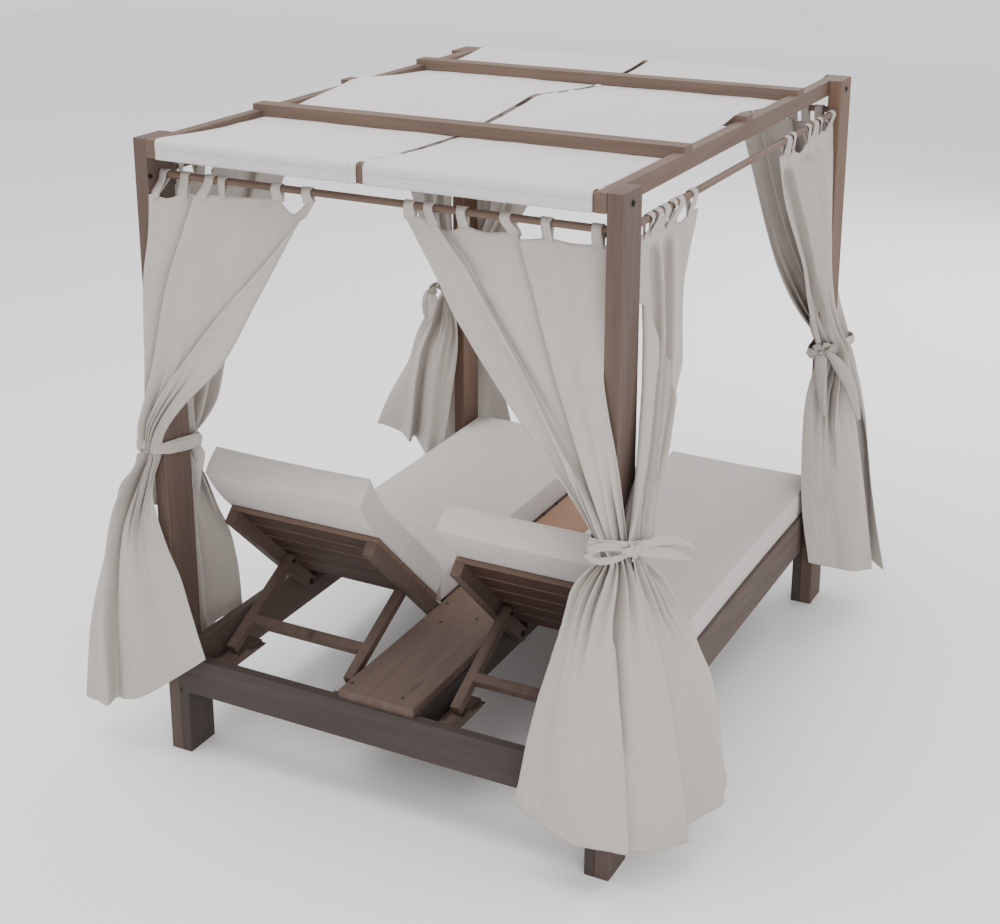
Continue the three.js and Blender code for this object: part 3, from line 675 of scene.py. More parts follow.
def make_tabs(corner, spec, name, material):
    """Loops of cloth from the top edge of a curtain over its rod."""
    bm = bmesh.new()
    on_end = spec.rod == "end"
    rod_out = -(POST_DEEP if on_end else POST_WIDE) / 2
    loop_radius = ROD_RADIUS + TAB_GAP
    for number, (rod_place, across) in enumerate(spec.tabs):
        edge = spec.point(across, 0.0)
        edge_along, edge_out = (edge.x, -edge.y) if on_end else (edge.y, -edge.x)
        slant = TAB_SLANT * math.sin(number * 2.3 + spec.seed)

        def place(wide, down):
            turn = abs(down - 0.5) * 2
            front = 1 if down < 0.5 else -1
            if turn < TAB_ON_ROD:
                angle = turn / TAB_ON_ROD * math.pi / 2
                out = rod_out + front * loop_radius * math.sin(angle)
                height = ROD_Z + loop_radius * math.cos(angle)
                along = rod_place
            else:
                share = (turn - TAB_ON_ROD) / (1 - TAB_ON_ROD)
                foot_out = edge_out + front * TAB_APART
                out = mix(rod_out + front * loop_radius, foot_out, ease(share))
                height = mix(ROD_Z, edge.z - TAB_OVERLAP, share)
                along = mix(rod_place, edge_along, ease(share))
            spread = (wide - 0.5) * TAB_WIDE * (1 - TAB_NARROWING * math.sin(math.pi * turn))
            out += spread * slant * turn
            along += spread * math.sqrt(1 - (slant * turn) ** 2)
            return corner.world(along, -out, height) if on_end else corner.world(-out, along, height)

        lay_grid(bm, *TAB_CELLS, (TAB_WIDE, TAB_LONG), place)
    leave_unstitched(bm)
    piece = make_piece(name, bm, material)
    thicken(piece, CLOTH_THICK * 1.5)
    return piece


HEAD_LEFT_END = Curtain(
    rod="end",
    near=[
        (0.0, 0.047, 0.0, 1.838), (0.1, 0.044, -0.003, 1.762), (0.18, 0.037, -0.006, 1.7),
        (0.33, 0.017, -0.012, 1.577), (0.62, 0.005, -0.018, 1.328), (0.92, -0.012, -0.021, 1.09),
        (1.0, -0.014, -0.022, 1.02), (1.12, -0.105, -0.035, 0.909), (1.25, -0.13, -0.045, 0.8),
        (1.36, -0.162, -0.055, 0.704), (1.68, -0.24, -0.07, 0.418), (2.0, -0.277, -0.08, 0.15),
    ],
    middle=[
        (0.0, 0.31, 0.06, 1.85), (0.33, 0.205, 0.022, 1.575), (0.62, 0.125, -0.005, 1.33),
        (0.85, 0.035, -0.024, 1.145), (1.0, 0.01, -0.026, 1.02), (1.25, -0.055, -0.08, 0.8),
        (1.5, -0.06, -0.105, 0.6), (2.0, -0.085, -0.075, 0.195),
    ],
    far=[
        (0.0, 0.585, 0.0625, 1.868), (0.1, 0.529, 0.055, 1.776), (0.35, 0.399, 0.045, 1.56),
        (0.6, 0.273, 0.02, 1.343), (0.78, 0.135, -0.005, 1.2), (0.9, 0.062, -0.018, 1.1),
        (1.0, 0.04, -0.022, 1.02), (1.1, 0.02, -0.034, 0.93), (1.2, 0.022, -0.035, 0.853),
        (1.38, 0.055, -0.03, 0.734), (1.52, 0.098, -0.03, 0.642), (1.66, 0.126, -0.03, 0.55),
        (2.0, 0.18, -0.03, 0.376),
    ],
    span=(0.047, 0.585),
    tabs=[0.062, 0.14, 0.227, 0.271, 0.457, 0.559],
    sags=[0.012, 0.0, 0.0, 0.004, 0.045],
    folds=[
        Fold((0.0, 0.98), (0.27, 0.16), (0.045, 0.06), (0.014, 0.024), (1.3, 2.0)),
        Fold((0.1, 0.98), (0.52, 0.5), (0.14, 0.12), (0.012, 0.012), ridge=True),
        Fold((1.05, 2.0), (0.3, 0.32), (0.06, 0.05), (-0.03, -0.028), (0.6, 1.6)),
        Fold((1.05, 2.0), (0.62, 0.62), (0.1, 0.1), (0.02, 0.035), ridge=True),
        Fold((1.02, 1.6), (0.8, 0.82), (0.05, 0.07), (-0.02, -0.01), ridge=True),
    ],
    seed=1.0,
    turned=[(0.06, 0.0), (0.25, 0.11), (0.5, 0.33), (0.7, 0.5), (0.85, 0.56), (0.97, 0.5)],
)

HEAD_LEFT_SIDE = Curtain(
    rod="side",
    near=[
        (0.0, 0.0225, 0.135, 1.845), (0.5, 0.02, 0.133, 1.43), (1.0, 0.012, 0.132, 1.0),
        (1.15, 0.015, 0.132, 0.9), (1.5, 0.0, 0.13, 0.6), (2.0, -0.01, 0.133, 0.235),
    ],
    middle=[
        (0.0, 0.0225, 0.46, 1.845), (0.5, 0.015, 0.29, 1.44), (1.0, -0.004, 0.148, 1.0),
        (1.3, -0.03, 0.2, 0.76), (1.6, -0.05, 0.25, 0.52), (2.0, -0.06, 0.28, 0.25),
    ],
    far=[
        (0.0, 0.0225, 0.8, 1.86), (0.3, 0.02, 0.62, 1.6), (0.6, 0.02, 0.45, 1.345),
        (0.78, 0.02, 0.353, 1.199), (0.87, 0.02, 0.294, 1.127), (0.97, 0.012, 0.18, 1.05),
        (1.0, 0.0, 0.165, 0.995), (1.13, 0.02, 0.22, 0.876), (1.3, 0.01, 0.295, 0.726),
        (1.45, 0.0, 0.36, 0.615), (1.7, -0.01, 0.406, 0.462), (2.0, -0.02, 0.432, 0.3),
    ],
    span=(0.135, 0.8),
    tabs=[0.17, 0.27, 0.4, 0.52, 0.66, 0.77],
    sags=[0.01, 0.02, 0.0, 0.015, 0.01],
    folds=[
        Fold((0.0, 0.98), (0.33, 0.3), (0.05, 0.06), (0.014, 0.02), (1.2, 1.8)),
        Fold((0.0, 0.98), (0.7, 0.68), (0.06, 0.06), (-0.014, -0.02), (1.2, 1.8)),
        Fold((1.05, 2.0), (0.35, 0.42), (0.07, 0.06), (-0.02, -0.03), (0.8, 1.6)),
        Fold((1.05, 2.0), (0.7, 0.72), (0.1, 0.1), (0.012, 0.02), ridge=True),
    ],
    seed=2.0,
    gather=0.03,
)

HEAD_RIGHT_END = Curtain(
    rod="end",
    near=[
        (0.0, 0.055, 0.0625, 1.847), (0.2, 0.052, 0.05, 1.68), (0.3, 0.049, 0.02, 1.6),
        (0.41, 0.041, -0.006, 1.504), (0.68, -0.007, -0.013, 1.285), (0.87, -0.034, -0.02, 1.124),
        (1.0, -0.046, -0.016, 1.02), (1.15, -0.075, 0.03, 0.88), (1.4, -0.12, 0.08, 0.66),
        (1.7, -0.155, 0.12, 0.38), (2.0, -0.185, 0.145, 0.1),
    ],
    middle=[
        (0.0, 0.36, 0.06, 1.85), (0.4, 0.22, 0.028, 1.51), (0.7, 0.1, -0.008, 1.26),
        (0.9, 0.02, -0.024, 1.1), (1.0, -0.012, -0.034, 1.02), (1.2, 0.0, -0.085, 0.85),
        (1.5, 0.01, -0.1, 0.6), (2.0, 0.005, -0.065, 0.15),
    ],
    far=[
        (0.0, 0.672, 0.0625, 1.862), (0.2, 0.564, 0.055, 1.687), (0.32, 0.509, 0.05, 1.591),
        (0.56, 0.352, 0.035, 1.391), (0.8, 0.15, 0.0, 1.176), (0.94, 0.036, -0.02, 1.051),
        (1.0, 0.03, -0.032, 1.02), (1.06, 0.08, -0.036, 0.967), (1.12, 0.112, -0.042, 0.925),
        (1.2, 0.131, -0.045, 0.852), (1.42, 0.172, -0.05, 0.665), (1.56, 0.202, -0.055, 0.548),
        (1.74, 0.233, -0.06, 0.403), (2.0, 0.262, -0.07, 0.225),
    ],
    span=(0.055, 0.672),
    tabs=[0.094, 0.239, 0.359, 0.49, 0.59, 0.65],
    sags=[0.006, 0.012, 0.012, 0.03, 0.0],
    folds=[
        Fold((0.0, 0.98), (0.83, 0.5), (0.03, 0.05), (0.014, 0.022), (1.6, 2.2)),
        Fold((0.0, 0.98), (0.44, 0.44), (0.05, 0.06), (-0.012, -0.022), (0.9, 1.5)),
        Fold((0.2, 0.98), (0.62, 0.6), (0.09, 0.08), (0.018, 0.016), ridge=True),
        Fold((0.3, 0.98), (0.2, 0.2), (0.08, 0.08), (0.012, 0.014), ridge=True),
        Fold((1.02, 1.62), (0.3, 0.3), (0.045, 0.02), (-0.075, -0.02), (0.5, 1.2), ridge=True),
        Fold((1.3, 2.0), (0.3, 0.34), (0.03, 0.04), (0.01, 0.012), (1.0, 1.2)),
        Fold((1.05, 2.0), (0.72, 0.68), (0.12, 0.12), (0.025, 0.02), ridge=True),
        Fold((1.05, 1.9), (0.88, 0.86), (0.05, 0.06), (-0.016, -0.008), ridge=True),
    ],
    seed=3.0,
)

HEAD_RIGHT_SIDE = Curtain(
    rod="side",
    near=[
        (0.0, 0.0225, 0.145, 1.85), (0.25, 0.002, 0.131, 1.64), (0.43, -0.01, 0.114, 1.483),
        (0.63, -0.018, 0.08, 1.326), (0.83, -0.027, 0.02, 1.161), (0.92, -0.034, -0.008, 1.09),
        (1.0, -0.042, 0.0, 1.02), (1.2, -0.066, 0.02, 0.85), (1.5, -0.098, 0.055, 0.6),
        (2.0, -0.135, 0.11, 0.12),
    ],
    middle=[
        (0.0, 0.0225, 0.33, 1.85), (0.4, 0.0, 0.31, 1.5), (0.7, -0.02, 0.2, 1.26),
        (0.9, -0.035, 0.07, 1.1), (1.0, -0.05, 0.03, 1.01), (1.2, -0.085, 0.13, 0.85),
        (1.5, -0.15, 0.27, 0.58), (2.0, -0.195, 0.33, 0.12),
    ],
    far=[
        (0.0, 0.0225, 0.59, 1.835), (0.25, 0.0225, 0.493, 1.628), (0.53, 0.015, 0.486, 1.403),
        (0.63, 0.01, 0.419, 1.323), (0.9, -0.01, 0.275, 1.092), (0.97, -0.02, 0.134, 1.03),
        (1.0, -0.035, 0.07, 1.0), (1.06, -0.036, 0.13, 0.94), (1.14, -0.04, 0.214, 0.88),
        (1.35, -0.096, 0.297, 0.7), (1.46, -0.106, 0.351, 0.6), (1.58, -0.131, 0.408, 0.5),
        (1.86, -0.183, 0.415, 0.22), (2.0, -0.185, 0.44, 0.15),
    ],
    span=(0.15, 0.59),
    tabs=[0.229, 0.28, 0.331, 0.391, 0.436, 0.537],
    sags=[0.0, 0.0, 0.004, 0.0, 0.02],
    folds=[
        Fold((0.08, 0.98), (0.35, 0.35), (0.05, 0.05), (0.016, 0.018), (1.5, 1.5)),
        Fold((0.08, 0.98), (0.6, 0.55), (0.05, 0.05), (0.018, 0.018), (1.5, 1.5)),
        Fold((0.08, 0.98), (0.8, 0.8), (0.05, 0.05), (-0.012, -0.016), (1.0, 1.4)),
        Fold((1.1, 2.0), (0.5, 0.5), (0.09, 0.1), (0.015, 0.02), ridge=True),
    ],
    seed=4.0,
    turned=[(0.2, 0.0), (0.32, 0.2), (0.5, 0.56), (0.68, 0.7), (0.85, 0.72), (0.98, 0.65)],
    turn_side=-1,
)

FOOT_RIGHT_END = Curtain(
    rod="end",
    near=[
        (0.0, 0.055, 0.0625, 1.845), (0.5, 0.046, 0.01, 1.43), (0.8, 0.0, -0.015, 1.18),
        (1.0, -0.035, -0.012, 1.02), (1.3, -0.104, -0.05, 0.75), (1.6, -0.15, -0.06, 0.49),
        (2.0, -0.225, -0.07, 0.11),
    ],
    middle=[
        (0.0, 0.22, 0.0625, 1.845), (0.5, 0.14, 0.03, 1.44), (1.0, 0.0, -0.028, 1.02),
        (1.4, -0.05, -0.1, 0.66), (2.0, -0.06, -0.1, 0.15),
    ],
    far=[
        (0.0, 0.395, 0.0625, 1.85), (0.13, 0.357, 0.0625, 1.735), (0.6, 0.24, 0.06, 1.351),
        (0.81, 0.161, 0.05, 1.176), (0.97, 0.076, 0.0, 1.036), (1.0, 0.05, -0.02, 1.02),
        (1.4, 0.08, -0.05, 0.66), (2.0, 0.14, -0.06, 0.2),
    ],
    span=(0.055, 0.395),
    tabs=[0.09, 0.14, 0.19, 0.25, 0.31, 0.36],
    sags=[0.0, 0.01, 0.0, 0.01, 0.0],
    folds=[
        Fold((0.0, 0.98), (0.78, 0.7), (0.05, 0.05), (0.014, 0.02), (1.4, 1.8)),
        Fold((0.0, 0.98), (0.4, 0.4), (0.06, 0.06), (-0.014, -0.02), (1.2, 1.6)),
        Fold((1.05, 2.0), (0.5, 0.5), (0.1, 0.12), (0.02, 0.03), ridge=True),
        Fold((1.05, 2.0), (0.25, 0.25), (0.06, 0.06), (-0.02, -0.02), (1.0, 1.4)),
    ],
    seed=5.0,
)

FOOT_RIGHT_SIDE = Curtain(
    rod="side",
    near=[
        (0.0, 0.0225, 0.135, 1.87), (0.5, -0.004, 0.133, 1.435), (0.85, -0.016, 0.08, 1.14),
        (1.0, -0.04, 0.03, 1.02), (1.1, -0.06, 0.04, 0.95), (1.35, -0.1, 0.0, 0.72),
        (1.7, -0.15, 0.0, 0.42), (2.0, -0.2, 0.02, 0.15),
    ],
    middle=[
        (0.0, 0.0225, 0.4, 1.85), (0.5, 0.0, 0.28, 1.44), (0.85, -0.02, 0.16, 1.13),
        (1.0, -0.036, 0.09, 1.02), (1.3, -0.065, 0.12, 0.78), (2.0, -0.115, 0.09, 0.16),
    ],
    far=[
        (0.0, 0.0225, 0.71, 1.845), (0.18, 0.0225, 0.64, 1.7), (0.42, 0.022, 0.47, 1.5),
        (0.54, 0.022, 0.385, 1.4), (0.8, 0.022, 0.27, 1.19), (0.95, 0.018, 0.2, 1.07),
        (1.0, 0.02, 0.165, 1.02), (1.2, 0.05, 0.17, 0.85), (1.4, 0.052, 0.175, 0.66),
        (1.7, 0.038, 0.18, 0.42), (2.0, 0.0, 0.18, 0.2),
    ],
    span=(0.135, 0.71),
    tabs=[0.157, 0.3, 0.36, 0.43, 0.59, 0.648],
    sags=[0.02, 0.01, 0.0, 0.03, 0.0],
    folds=[
        Fold((0.1, 0.98), (0.88, 0.7), (0.035, 0.05), (-0.022, -0.026), (1.6, 2.0)),
        Fold((0.1, 0.98), (0.62, 0.5), (0.045, 0.05), (0.03, 0.03), (2.0, 2.2)),
        Fold((0.1, 0.9), (0.44, 0.36), (0.04, 0.05), (0.016, 0.022), (1.2, 1.6)),
        Fold((0.1, 0.98), (0.25, 0.25), (0.06, 0.06), (0.012, 0.014), (1.0, 1.4)),
        Fold((1.02, 1.5), (0.68, 0.6), (0.05, 0.05), (-0.02, -0.004), (1.0, 0.6)),
        Fold((1.4, 2.0), (0.4, 0.4), (0.2, 0.2), (0.012, 0.016), ridge=True),
    ],
    seed=6.0,
    gather=0.036,
)

FOOT_LEFT_END = Curtain(
    rod="end",
    near=[
        (0.0, 0.06, 0.0625, 1.845), (0.5, 0.047, 0.005, 1.43), (0.85, -0.005, -0.016, 1.14),
        (1.0, -0.03, -0.016, 1.02), (1.4, -0.1, -0.05, 0.66), (2.0, -0.22, -0.06, 0.2),
    ],
    middle=[
        (0.0, 0.27, 0.0625, 1.845), (0.5, 0.17, 0.02, 1.44), (1.0, 0.0, -0.028, 1.02),
        (1.4, -0.02, -0.1, 0.66), (2.0, -0.04, -0.1, 0.16),
    ],
    far=[
        (0.0, 0.49, 0.0625, 1.85), (0.4, 0.35, 0.05, 1.51), (0.8, 0.15, 0.0, 1.18),
        (1.0, 0.045, -0.022, 1.02), (1.4, 0.12, -0.05, 0.66), (2.0, 0.22, -0.07, 0.2),
    ],
    span=(0.06, 0.49),
    tabs=[0.09, 0.16, 0.24, 0.31, 0.39, 0.45],
    sags=[0.01, 0.0, 0.02, 0.0, 0.01],
    folds=[
        Fold((0.0, 0.98), (0.7, 0.6), (0.05, 0.05), (0.014, 0.02), (1.4, 1.8)),
        Fold((0.0, 0.98), (0.35, 0.4), (0.06, 0.06), (-0.014, -0.02), (1.2, 1.6)),
        Fold((1.05, 2.0), (0.55, 0.55), (0.1, 0.12), (0.02, 0.03), ridge=True),
        Fold((1.05, 2.0), (0.3, 0.3), (0.06, 0.06), (-0.02, -0.02), (1.0, 1.4)),
    ],
    seed=7.0,
)

FOOT_LEFT_SIDE = Curtain(
    rod="side",
    near=[
        (0.0, 0.0225, 0.135, 1.85), (0.5, -0.002, 0.133, 1.43), (0.85, -0.018, 0.09, 1.14),
        (1.0, -0.045, 0.06, 1.03), (1.2, -0.15, 0.11, 0.88), (1.45, -0.2, 0.15, 0.72),
        (1.7, -0.27, 0.2, 0.56), (2.0, -0.315, 0.22, 0.44),
    ],
    middle=[
        (0.0, 0.0225, 0.36, 1.85), (0.5, 0.0, 0.27, 1.44), (1.0, -0.04, 0.11, 1.02),
        (1.3, -0.1, 0.2, 0.78), (2.0, -0.16, 0.21, 0.4),
    ],
    far=[
        (0.0, 0.0225, 0.62, 1.85), (0.4, 0.0225, 0.48, 1.51), (0.8, 0.015, 0.26, 1.18),
        (1.0, 0.014, 0.15, 1.02), (1.2, 0.042, 0.16, 0.85), (1.5, 0.028, 0.2, 0.6),
        (2.0, -0.03, 0.2, 0.28),
    ],
    span=(0.135, 0.62),
    tabs=[0.17, 0.25, 0.33, 0.42, 0.5, 0.58],
    sags=[0.01, 0.02, 0.0, 0.015, 0.0],
    folds=[
        Fold((0.0, 0.98), (0.3, 0.3), (0.05, 0.05), (0.014, 0.02), (1.4, 1.8)),
        Fold((0.0, 0.98), (0.65, 0.6), (0.05, 0.05), (0.014, 0.02), (1.4, 1.8)),
        Fold((1.05, 2.0), (0.52, 0.52), (0.05, 0.06), (-0.02, -0.03), (1.4, 1.8)),
        Fold((1.05, 2.0), (0.8, 0.8), (0.06, 0.06), (0.02, 0.02), ridge=True),
    ],
    seed=8.0,
)

CURTAINS = {
    "head_left": (HEAD_LEFT_END, HEAD_LEFT_SIDE),
    "head_right": (HEAD_RIGHT_END, HEAD_RIGHT_SIDE),
    "foot_left": (FOOT_LEFT_END, FOOT_LEFT_SIDE),
    "foot_right": (FOOT_RIGHT_END, FOOT_RIGHT_SIDE),
}


# Sashes: the size of each, and then the maps, cells and relief of its band and its strips
SASH_WIDE = 0.05
BAND_LONG = 0.6
BAND_CELLS = (18, 150)
BAND_BULGE = 0.007
BAND_SLANT = 0.004
BAND_RUMPLE = 0.005
BAND_CREASE = 0.0025
STRIP_LONG = 1.0
STRIP_CELLS = (6, 40)
STRIP_PLEAT = 0.0012


def lay_strip(bm, path, widths, twist, bow):
    """A strip of cloth along a curve of (level, x, y, z) rows, with a width at its start, its
    middle and its end. It turns by its twist on the way, and is cupped by its bow."""
    def place(across, down):
        point = through(path, down)
        ahead = through(path, min(down + 0.01, 1.0)) - through(path, max(down - 0.01, 0.0))
        ahead.normalize()
        upright = Vector((0, 0, 1)) if abs(ahead.z) < 0.9 else Vector((1, 0, 0))
        side = ahead.cross(upright).normalized()
        face = side.cross(ahead).normalized()
        angle = twist * down
        wide = math.cos(angle) * face + math.sin(angle) * side
        shift = across - 0.5
        rise = bow * (1 - 4 * shift * shift) + STRIP_PLEAT * math.sin(across * 4 * math.pi + down * 6)
        return point + wide * (shift * blend_three(*widths, down)) + ahead.cross(wide) * rise

    lay_grid(bm, *STRIP_CELLS, (SASH_WIDE, STRIP_LONG), place)


def make_sash(corner, ring, strips, material):
    """A band round the post and both bundles, with its knot, loops and tails."""
    bm = bmesh.new()
    count = len(ring)
    middle_p = sum(point[0] for point in ring) / count
    middle_q = sum(point[1] for point in ring) / count
    seed = len(corner.name) + ring[0][0] * 100
    rows = [(number - 1, *ring[(number - 1) % count]) for number in range(count + 3)]

    def band(across, down):
        p, q, z = through(rows, down * count)
        away = Vector((p - middle_p, q - middle_q)).normalized()
        shift = across - 0.5
        rumple = uneven(across * 2.6, down * 13, seed) * BAND_RUMPLE
        crease = uneven(across * 6 + down * 9, down * 22, seed + 5) * BAND_CREASE
        narrow = 0.80 + 0.22 * uneven(down * 7, seed, 2)
        bulge = BAND_BULGE * (1 - 4 * shift * shift) + rumple + crease
        slant = BAND_SLANT * math.sin(down * 2 * math.pi + 1)
        height = z + slant + shift * SASH_WIDE * narrow
        return corner.world(p + away.x * bulge, q + away.y * bulge, height)

    lay_grid(bm, *BAND_CELLS, (SASH_WIDE, BAND_LONG), band)
    for points, widths, twist, bow in strips:
        path = [(i / (len(points) - 1), *corner.world(*point)) for i, point in enumerate(points)]
        lay_strip(bm, path, widths, twist, bow)
    leave_unstitched(bm)
    piece = make_piece(f"tie_{corner.name}", bm, material)
    thicken(piece, CLOTH_THICK)
    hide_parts(f"sash_{corner.name}")


def knot_strips(p, q, z):
    """Two short turns of cloth over each other."""
    over = [
        (p + 0.01, q + 0.006, z + 0.02), (p - 0.006, q - 0.01, z + 0.014),
        (p - 0.01, q - 0.014, z - 0.004), (p - 0.002, q - 0.004, z - 0.024),
    ]
    under = [
        (p + 0.02, q - 0.012, z - 0.006), (p + 0.002, q - 0.018, z + 0.002),
        (p - 0.016, q - 0.006, z + 0.006), (p - 0.018, q + 0.016, z + 0.002),
    ]
    return [(over, (0.016, 0.024, 0.014), 0.5, 0.005), (under, (0.02, 0.026, 0.018), -0.3, 0.005)]


def hidden_bow(p, q, z):
    """A small bow on the outer face of a post, with two short tails."""
    strips = knot_strips(p, q, z)
    for turn in (-1, 1):
        loop = [
            (p - 0.01, q, z), (p - 0.024, q + turn * 0.035, z + 0.01),
            (p - 0.02, q + turn * 0.07, z - 0.006), (p - 0.01, q + turn * 0.04, z - 0.022),
            (p - 0.01, q, z - 0.006),
        ]
        tail = [
            (p - 0.01, q, z - 0.004), (p - 0.026, q + turn * 0.014, z - 0.06),
            (p - 0.03, q + turn * 0.024, z - 0.15), (p - 0.034, q + turn * 0.03, z - 0.22),
        ]
        strips.append((loop, (0.012, 0.03, 0.012), 0.0, 0.004))
        strips.append((tail, (0.012, 0.034, 0.03), 0.5 * turn, 0.004))
    return strips


# Each sash is the ring of its band, in corner places, and its strips: points, widths, twist
# and bow.
SASHES = {
    "head_left": (
        [(-0.022, -0.036, 1.055), (0.03, -0.042, 1.055), (0.053, 0.0, 1.045), (0.053, 0.13, 1.025),
         (0.035, 0.185, 1.015), (-0.02, 0.18, 1.02), (-0.028, 0.13, 1.03), (-0.026, 0.0, 1.05)],
        hidden_bow(-0.03, 0.1, 1.03),
    ),
    "head_right": (
        [(-0.066, -0.046, 1.066), (-0.01, -0.056, 1.066), (0.052, -0.05, 1.058), (0.058, 0.02, 1.05),
         (0.053, 0.13, 1.035), (-0.01, 0.134, 1.03), (-0.052, 0.11, 1.035), (-0.074, 0.03, 1.055)],
        knot_strips(-0.072, -0.058, 1.072) + [
            ([(-0.07, -0.06, 1.076), (-0.03, -0.078, 1.08), (0.012, -0.084, 1.072), (0.046, -0.08, 1.046),
              (0.02, -0.078, 1.03), (-0.03, -0.074, 1.044), (-0.068, -0.06, 1.066)],
             (0.012, 0.024, 0.012), 0.0, 0.003),
            ([(-0.074, -0.056, 1.078), (-0.1, -0.02, 1.08), (-0.135, 0.02, 1.08),
              (-0.175, 0.035, 1.077), (-0.208, 0.04, 1.066)], (0.014, 0.032, 0.01), 0.3, 0.004),
            ([(-0.074, -0.056, 1.068), (-0.1, -0.02, 1.058), (-0.135, 0.015, 1.048),
              (-0.17, 0.03, 1.042), (-0.2, 0.038, 1.036)], (0.014, 0.034, 0.012), -0.3, 0.004),
        ],
    ),
    "foot_left": (
        [(-0.05, -0.032, 1.03), (0.03, -0.036, 1.03), (0.053, 0.0, 1.03), (0.053, 0.13, 1.035),
         (0.03, 0.172, 1.045), (-0.02, 0.168, 1.045), (-0.06, 0.1, 1.04), (-0.058, 0.03, 1.03)],
        knot_strips(-0.045, 0.185, 1.055) + [
            ([(-0.045, 0.19, 1.055), (-0.048, 0.21, 1.03), (-0.047, 0.212, 0.99), (-0.062, 0.212, 0.92)],
             (0.014, 0.048, 0.02), 0.3, 0.004),
            ([(-0.045, 0.19, 1.055), (-0.07, 0.2, 1.03), (-0.085, 0.195, 0.98), (-0.09, 0.19, 0.93)],
             (0.014, 0.04, 0.02), -0.3, 0.004),
        ],
    ),
    "foot_right": (
        [(-0.055, -0.028, 1.03), (0.02, -0.04, 1.03), (0.06, -0.03, 1.03), (0.056, 0.1, 1.025),
         (0.045, 0.18, 1.025), (-0.01, 0.184, 1.035), (-0.055, 0.13, 1.05), (-0.064, 0.04, 1.04)],
        knot_strips(-0.02, 0.195, 1.045) + [
            ([(-0.018, 0.2, 1.045), (-0.012, 0.214, 1.01), (-0.018, 0.216, 0.92), (-0.034, 0.21, 0.8)],
             (0.014, 0.052, 0.018), 0.5, 0.005),
            ([(-0.022, 0.198, 1.045), (-0.07, 0.196, 1.0), (-0.112, 0.19, 0.93), (-0.155, 0.185, 0.8)],
             (0.014, 0.046, 0.016), -0.4, 0.005),
            ([(-0.016, 0.2, 1.048), (0.004, 0.204, 1.056), (0.022, 0.198, 1.04), (0.006, 0.2, 1.026),
              (-0.016, 0.2, 1.038)], (0.01, 0.024, 0.01), 0.0, 0.004),
        ],
    ),
}

def make_curtains(material):
    for end_name, end in ENDS:
        for side_name, side in SIDES:
            corner = Corner(end_name, end, side_name, side)
            for spec in CURTAINS[corner.name]:
                make_curtain(corner, spec, material)
            make_sash(corner, *SASHES[corner.name], material)


# Canopy
CANOPY_SAG = 0.004
CANOPY_THICK = 0.0014
CANOPY_LIFT = 0.0022
CANOPY_CELLS = (70, 330)
VALANCE = 0.058
# How far from an end beam the cloth is free to wave, and the heights of its waves
CANOPY_FREE = 0.3
CANOPY_WAVE = 0.002
CANOPY_RIPPLE = 0.0012
EDGE_SLACK = 0.002
VALANCE_FLUTTER = 0.0025
ROOF_BARS = ("head", "middle", "foot")


def canopy_path():
    """(y, z) along a strip, from one valance over and under the bars to the other."""
    end = HALF_LENGTH + CANOPY_LIFT
    over = ROOF_TOP + CANOPY_LIFT
    valance = [
        (end, over - VALANCE), (end, over - VALANCE * 0.5), (end - 0.0005, over - 0.008),
        (end - 0.007, over - 0.0005),
    ]
    beam = HALF_LENGTH - BEAM_THICK
    held = [(-beam, over)]
    for name in ROOF_BARS:
        low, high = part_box(f"roof_bar_{name}")
        height = high.z + CANOPY_LIFT if name == "middle" else low.z - CANOPY_LIFT
        held += [(low.y, height), (high.y, height)]
    held.append((beam, over))
    rows = [(-y, z) for y, z in valance] + [held[0]]
    for number, ((y0, z0), (y1, z1)) in enumerate(zip(held, held[1:])):
        on_bar = number % 2 == 1
        steps = 2 if on_bar else 10
        for step in range(1, steps + 1):
            share = step / steps
            sag = 0 if on_bar else 4 * share * (1 - share) * CANOPY_SAG
            rows.append((mix(y0, y1, share), mix(z0, z1, share) - sag))
    return rows + valance[::-1]


def path_by_length(rows):
    """Rows of (share of the length, 0, y, z), and the length."""
    lengths = [0.0]
    for (y0, z0), (y1, z1) in zip(rows, rows[1:]):
        lengths.append(lengths[-1] + math.hypot(y1 - y0, z1 - z0))
    return [(length / lengths[-1], 0.0, y, z) for length, (y, z) in zip(lengths, rows)], lengths[-1]


def make_canopy(material):
    rows, length = path_by_length(canopy_path())
    for name, side in SIDES:
        low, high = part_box(f"canopy_strip_{name}")
        inner, outer = (low.x, high.x) if side > 0 else (high.x, low.x)
        width = abs(outer - inner)

        def place(across, down):
            point = through(rows, down)
            free = min(abs(HALF_LENGTH - abs(point.y)), CANOPY_FREE) / CANOPY_FREE
            flatness = ease(free * 1.4)
            wave = uneven(across * 3.1, down * 9, side * 4) * CANOPY_WAVE
            ripple = uneven(across * 9, down * 26, side * 2) * CANOPY_RIPPLE
            slack = EDGE_SLACK * (abs(across - 0.5) * 2) ** 6
            flutter = (0.5 + uneven(across * 14, down * 3, side)) * VALANCE_FLUTTER
            push = max((1 - flatness) * flutter, 0.0)
            point.x = mix(inner, outer, across)
            point.y += math.copysign(push, point.y)
            point.z += flatness * (wave + ripple - slack)
            return point

        def hems(across, down, point):
            on_valance = abs(point.y) > HALF_LENGTH
            end = abs(point.z - (ROOF_TOP - VALANCE)) if on_valance else 1.0
            return min(across, 1 - across) * width, end

        bm = bmesh.new()
        lay_grid(bm, *CANOPY_CELLS, (width, length), place, hems)
        piece = make_piece(f"canopy_cloth_{name}", bm, material)
        thicken(piece, CANOPY_THICK)
        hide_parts(f"canopy_strip_{name}")


# Cushions
SEAT_THICK = 0.098
SEAT_CROWN = 0.010
BACK_THICK = 0.090
BACK_CROWN = 0.012
# The back cushions along their lean from the pivots, and how their heads curl up
BACK_START = -0.078
BACK_STOP = -0.760
CURL_REACH = 0.185
CURLS = {"left": 0.030, "right": 0.006}
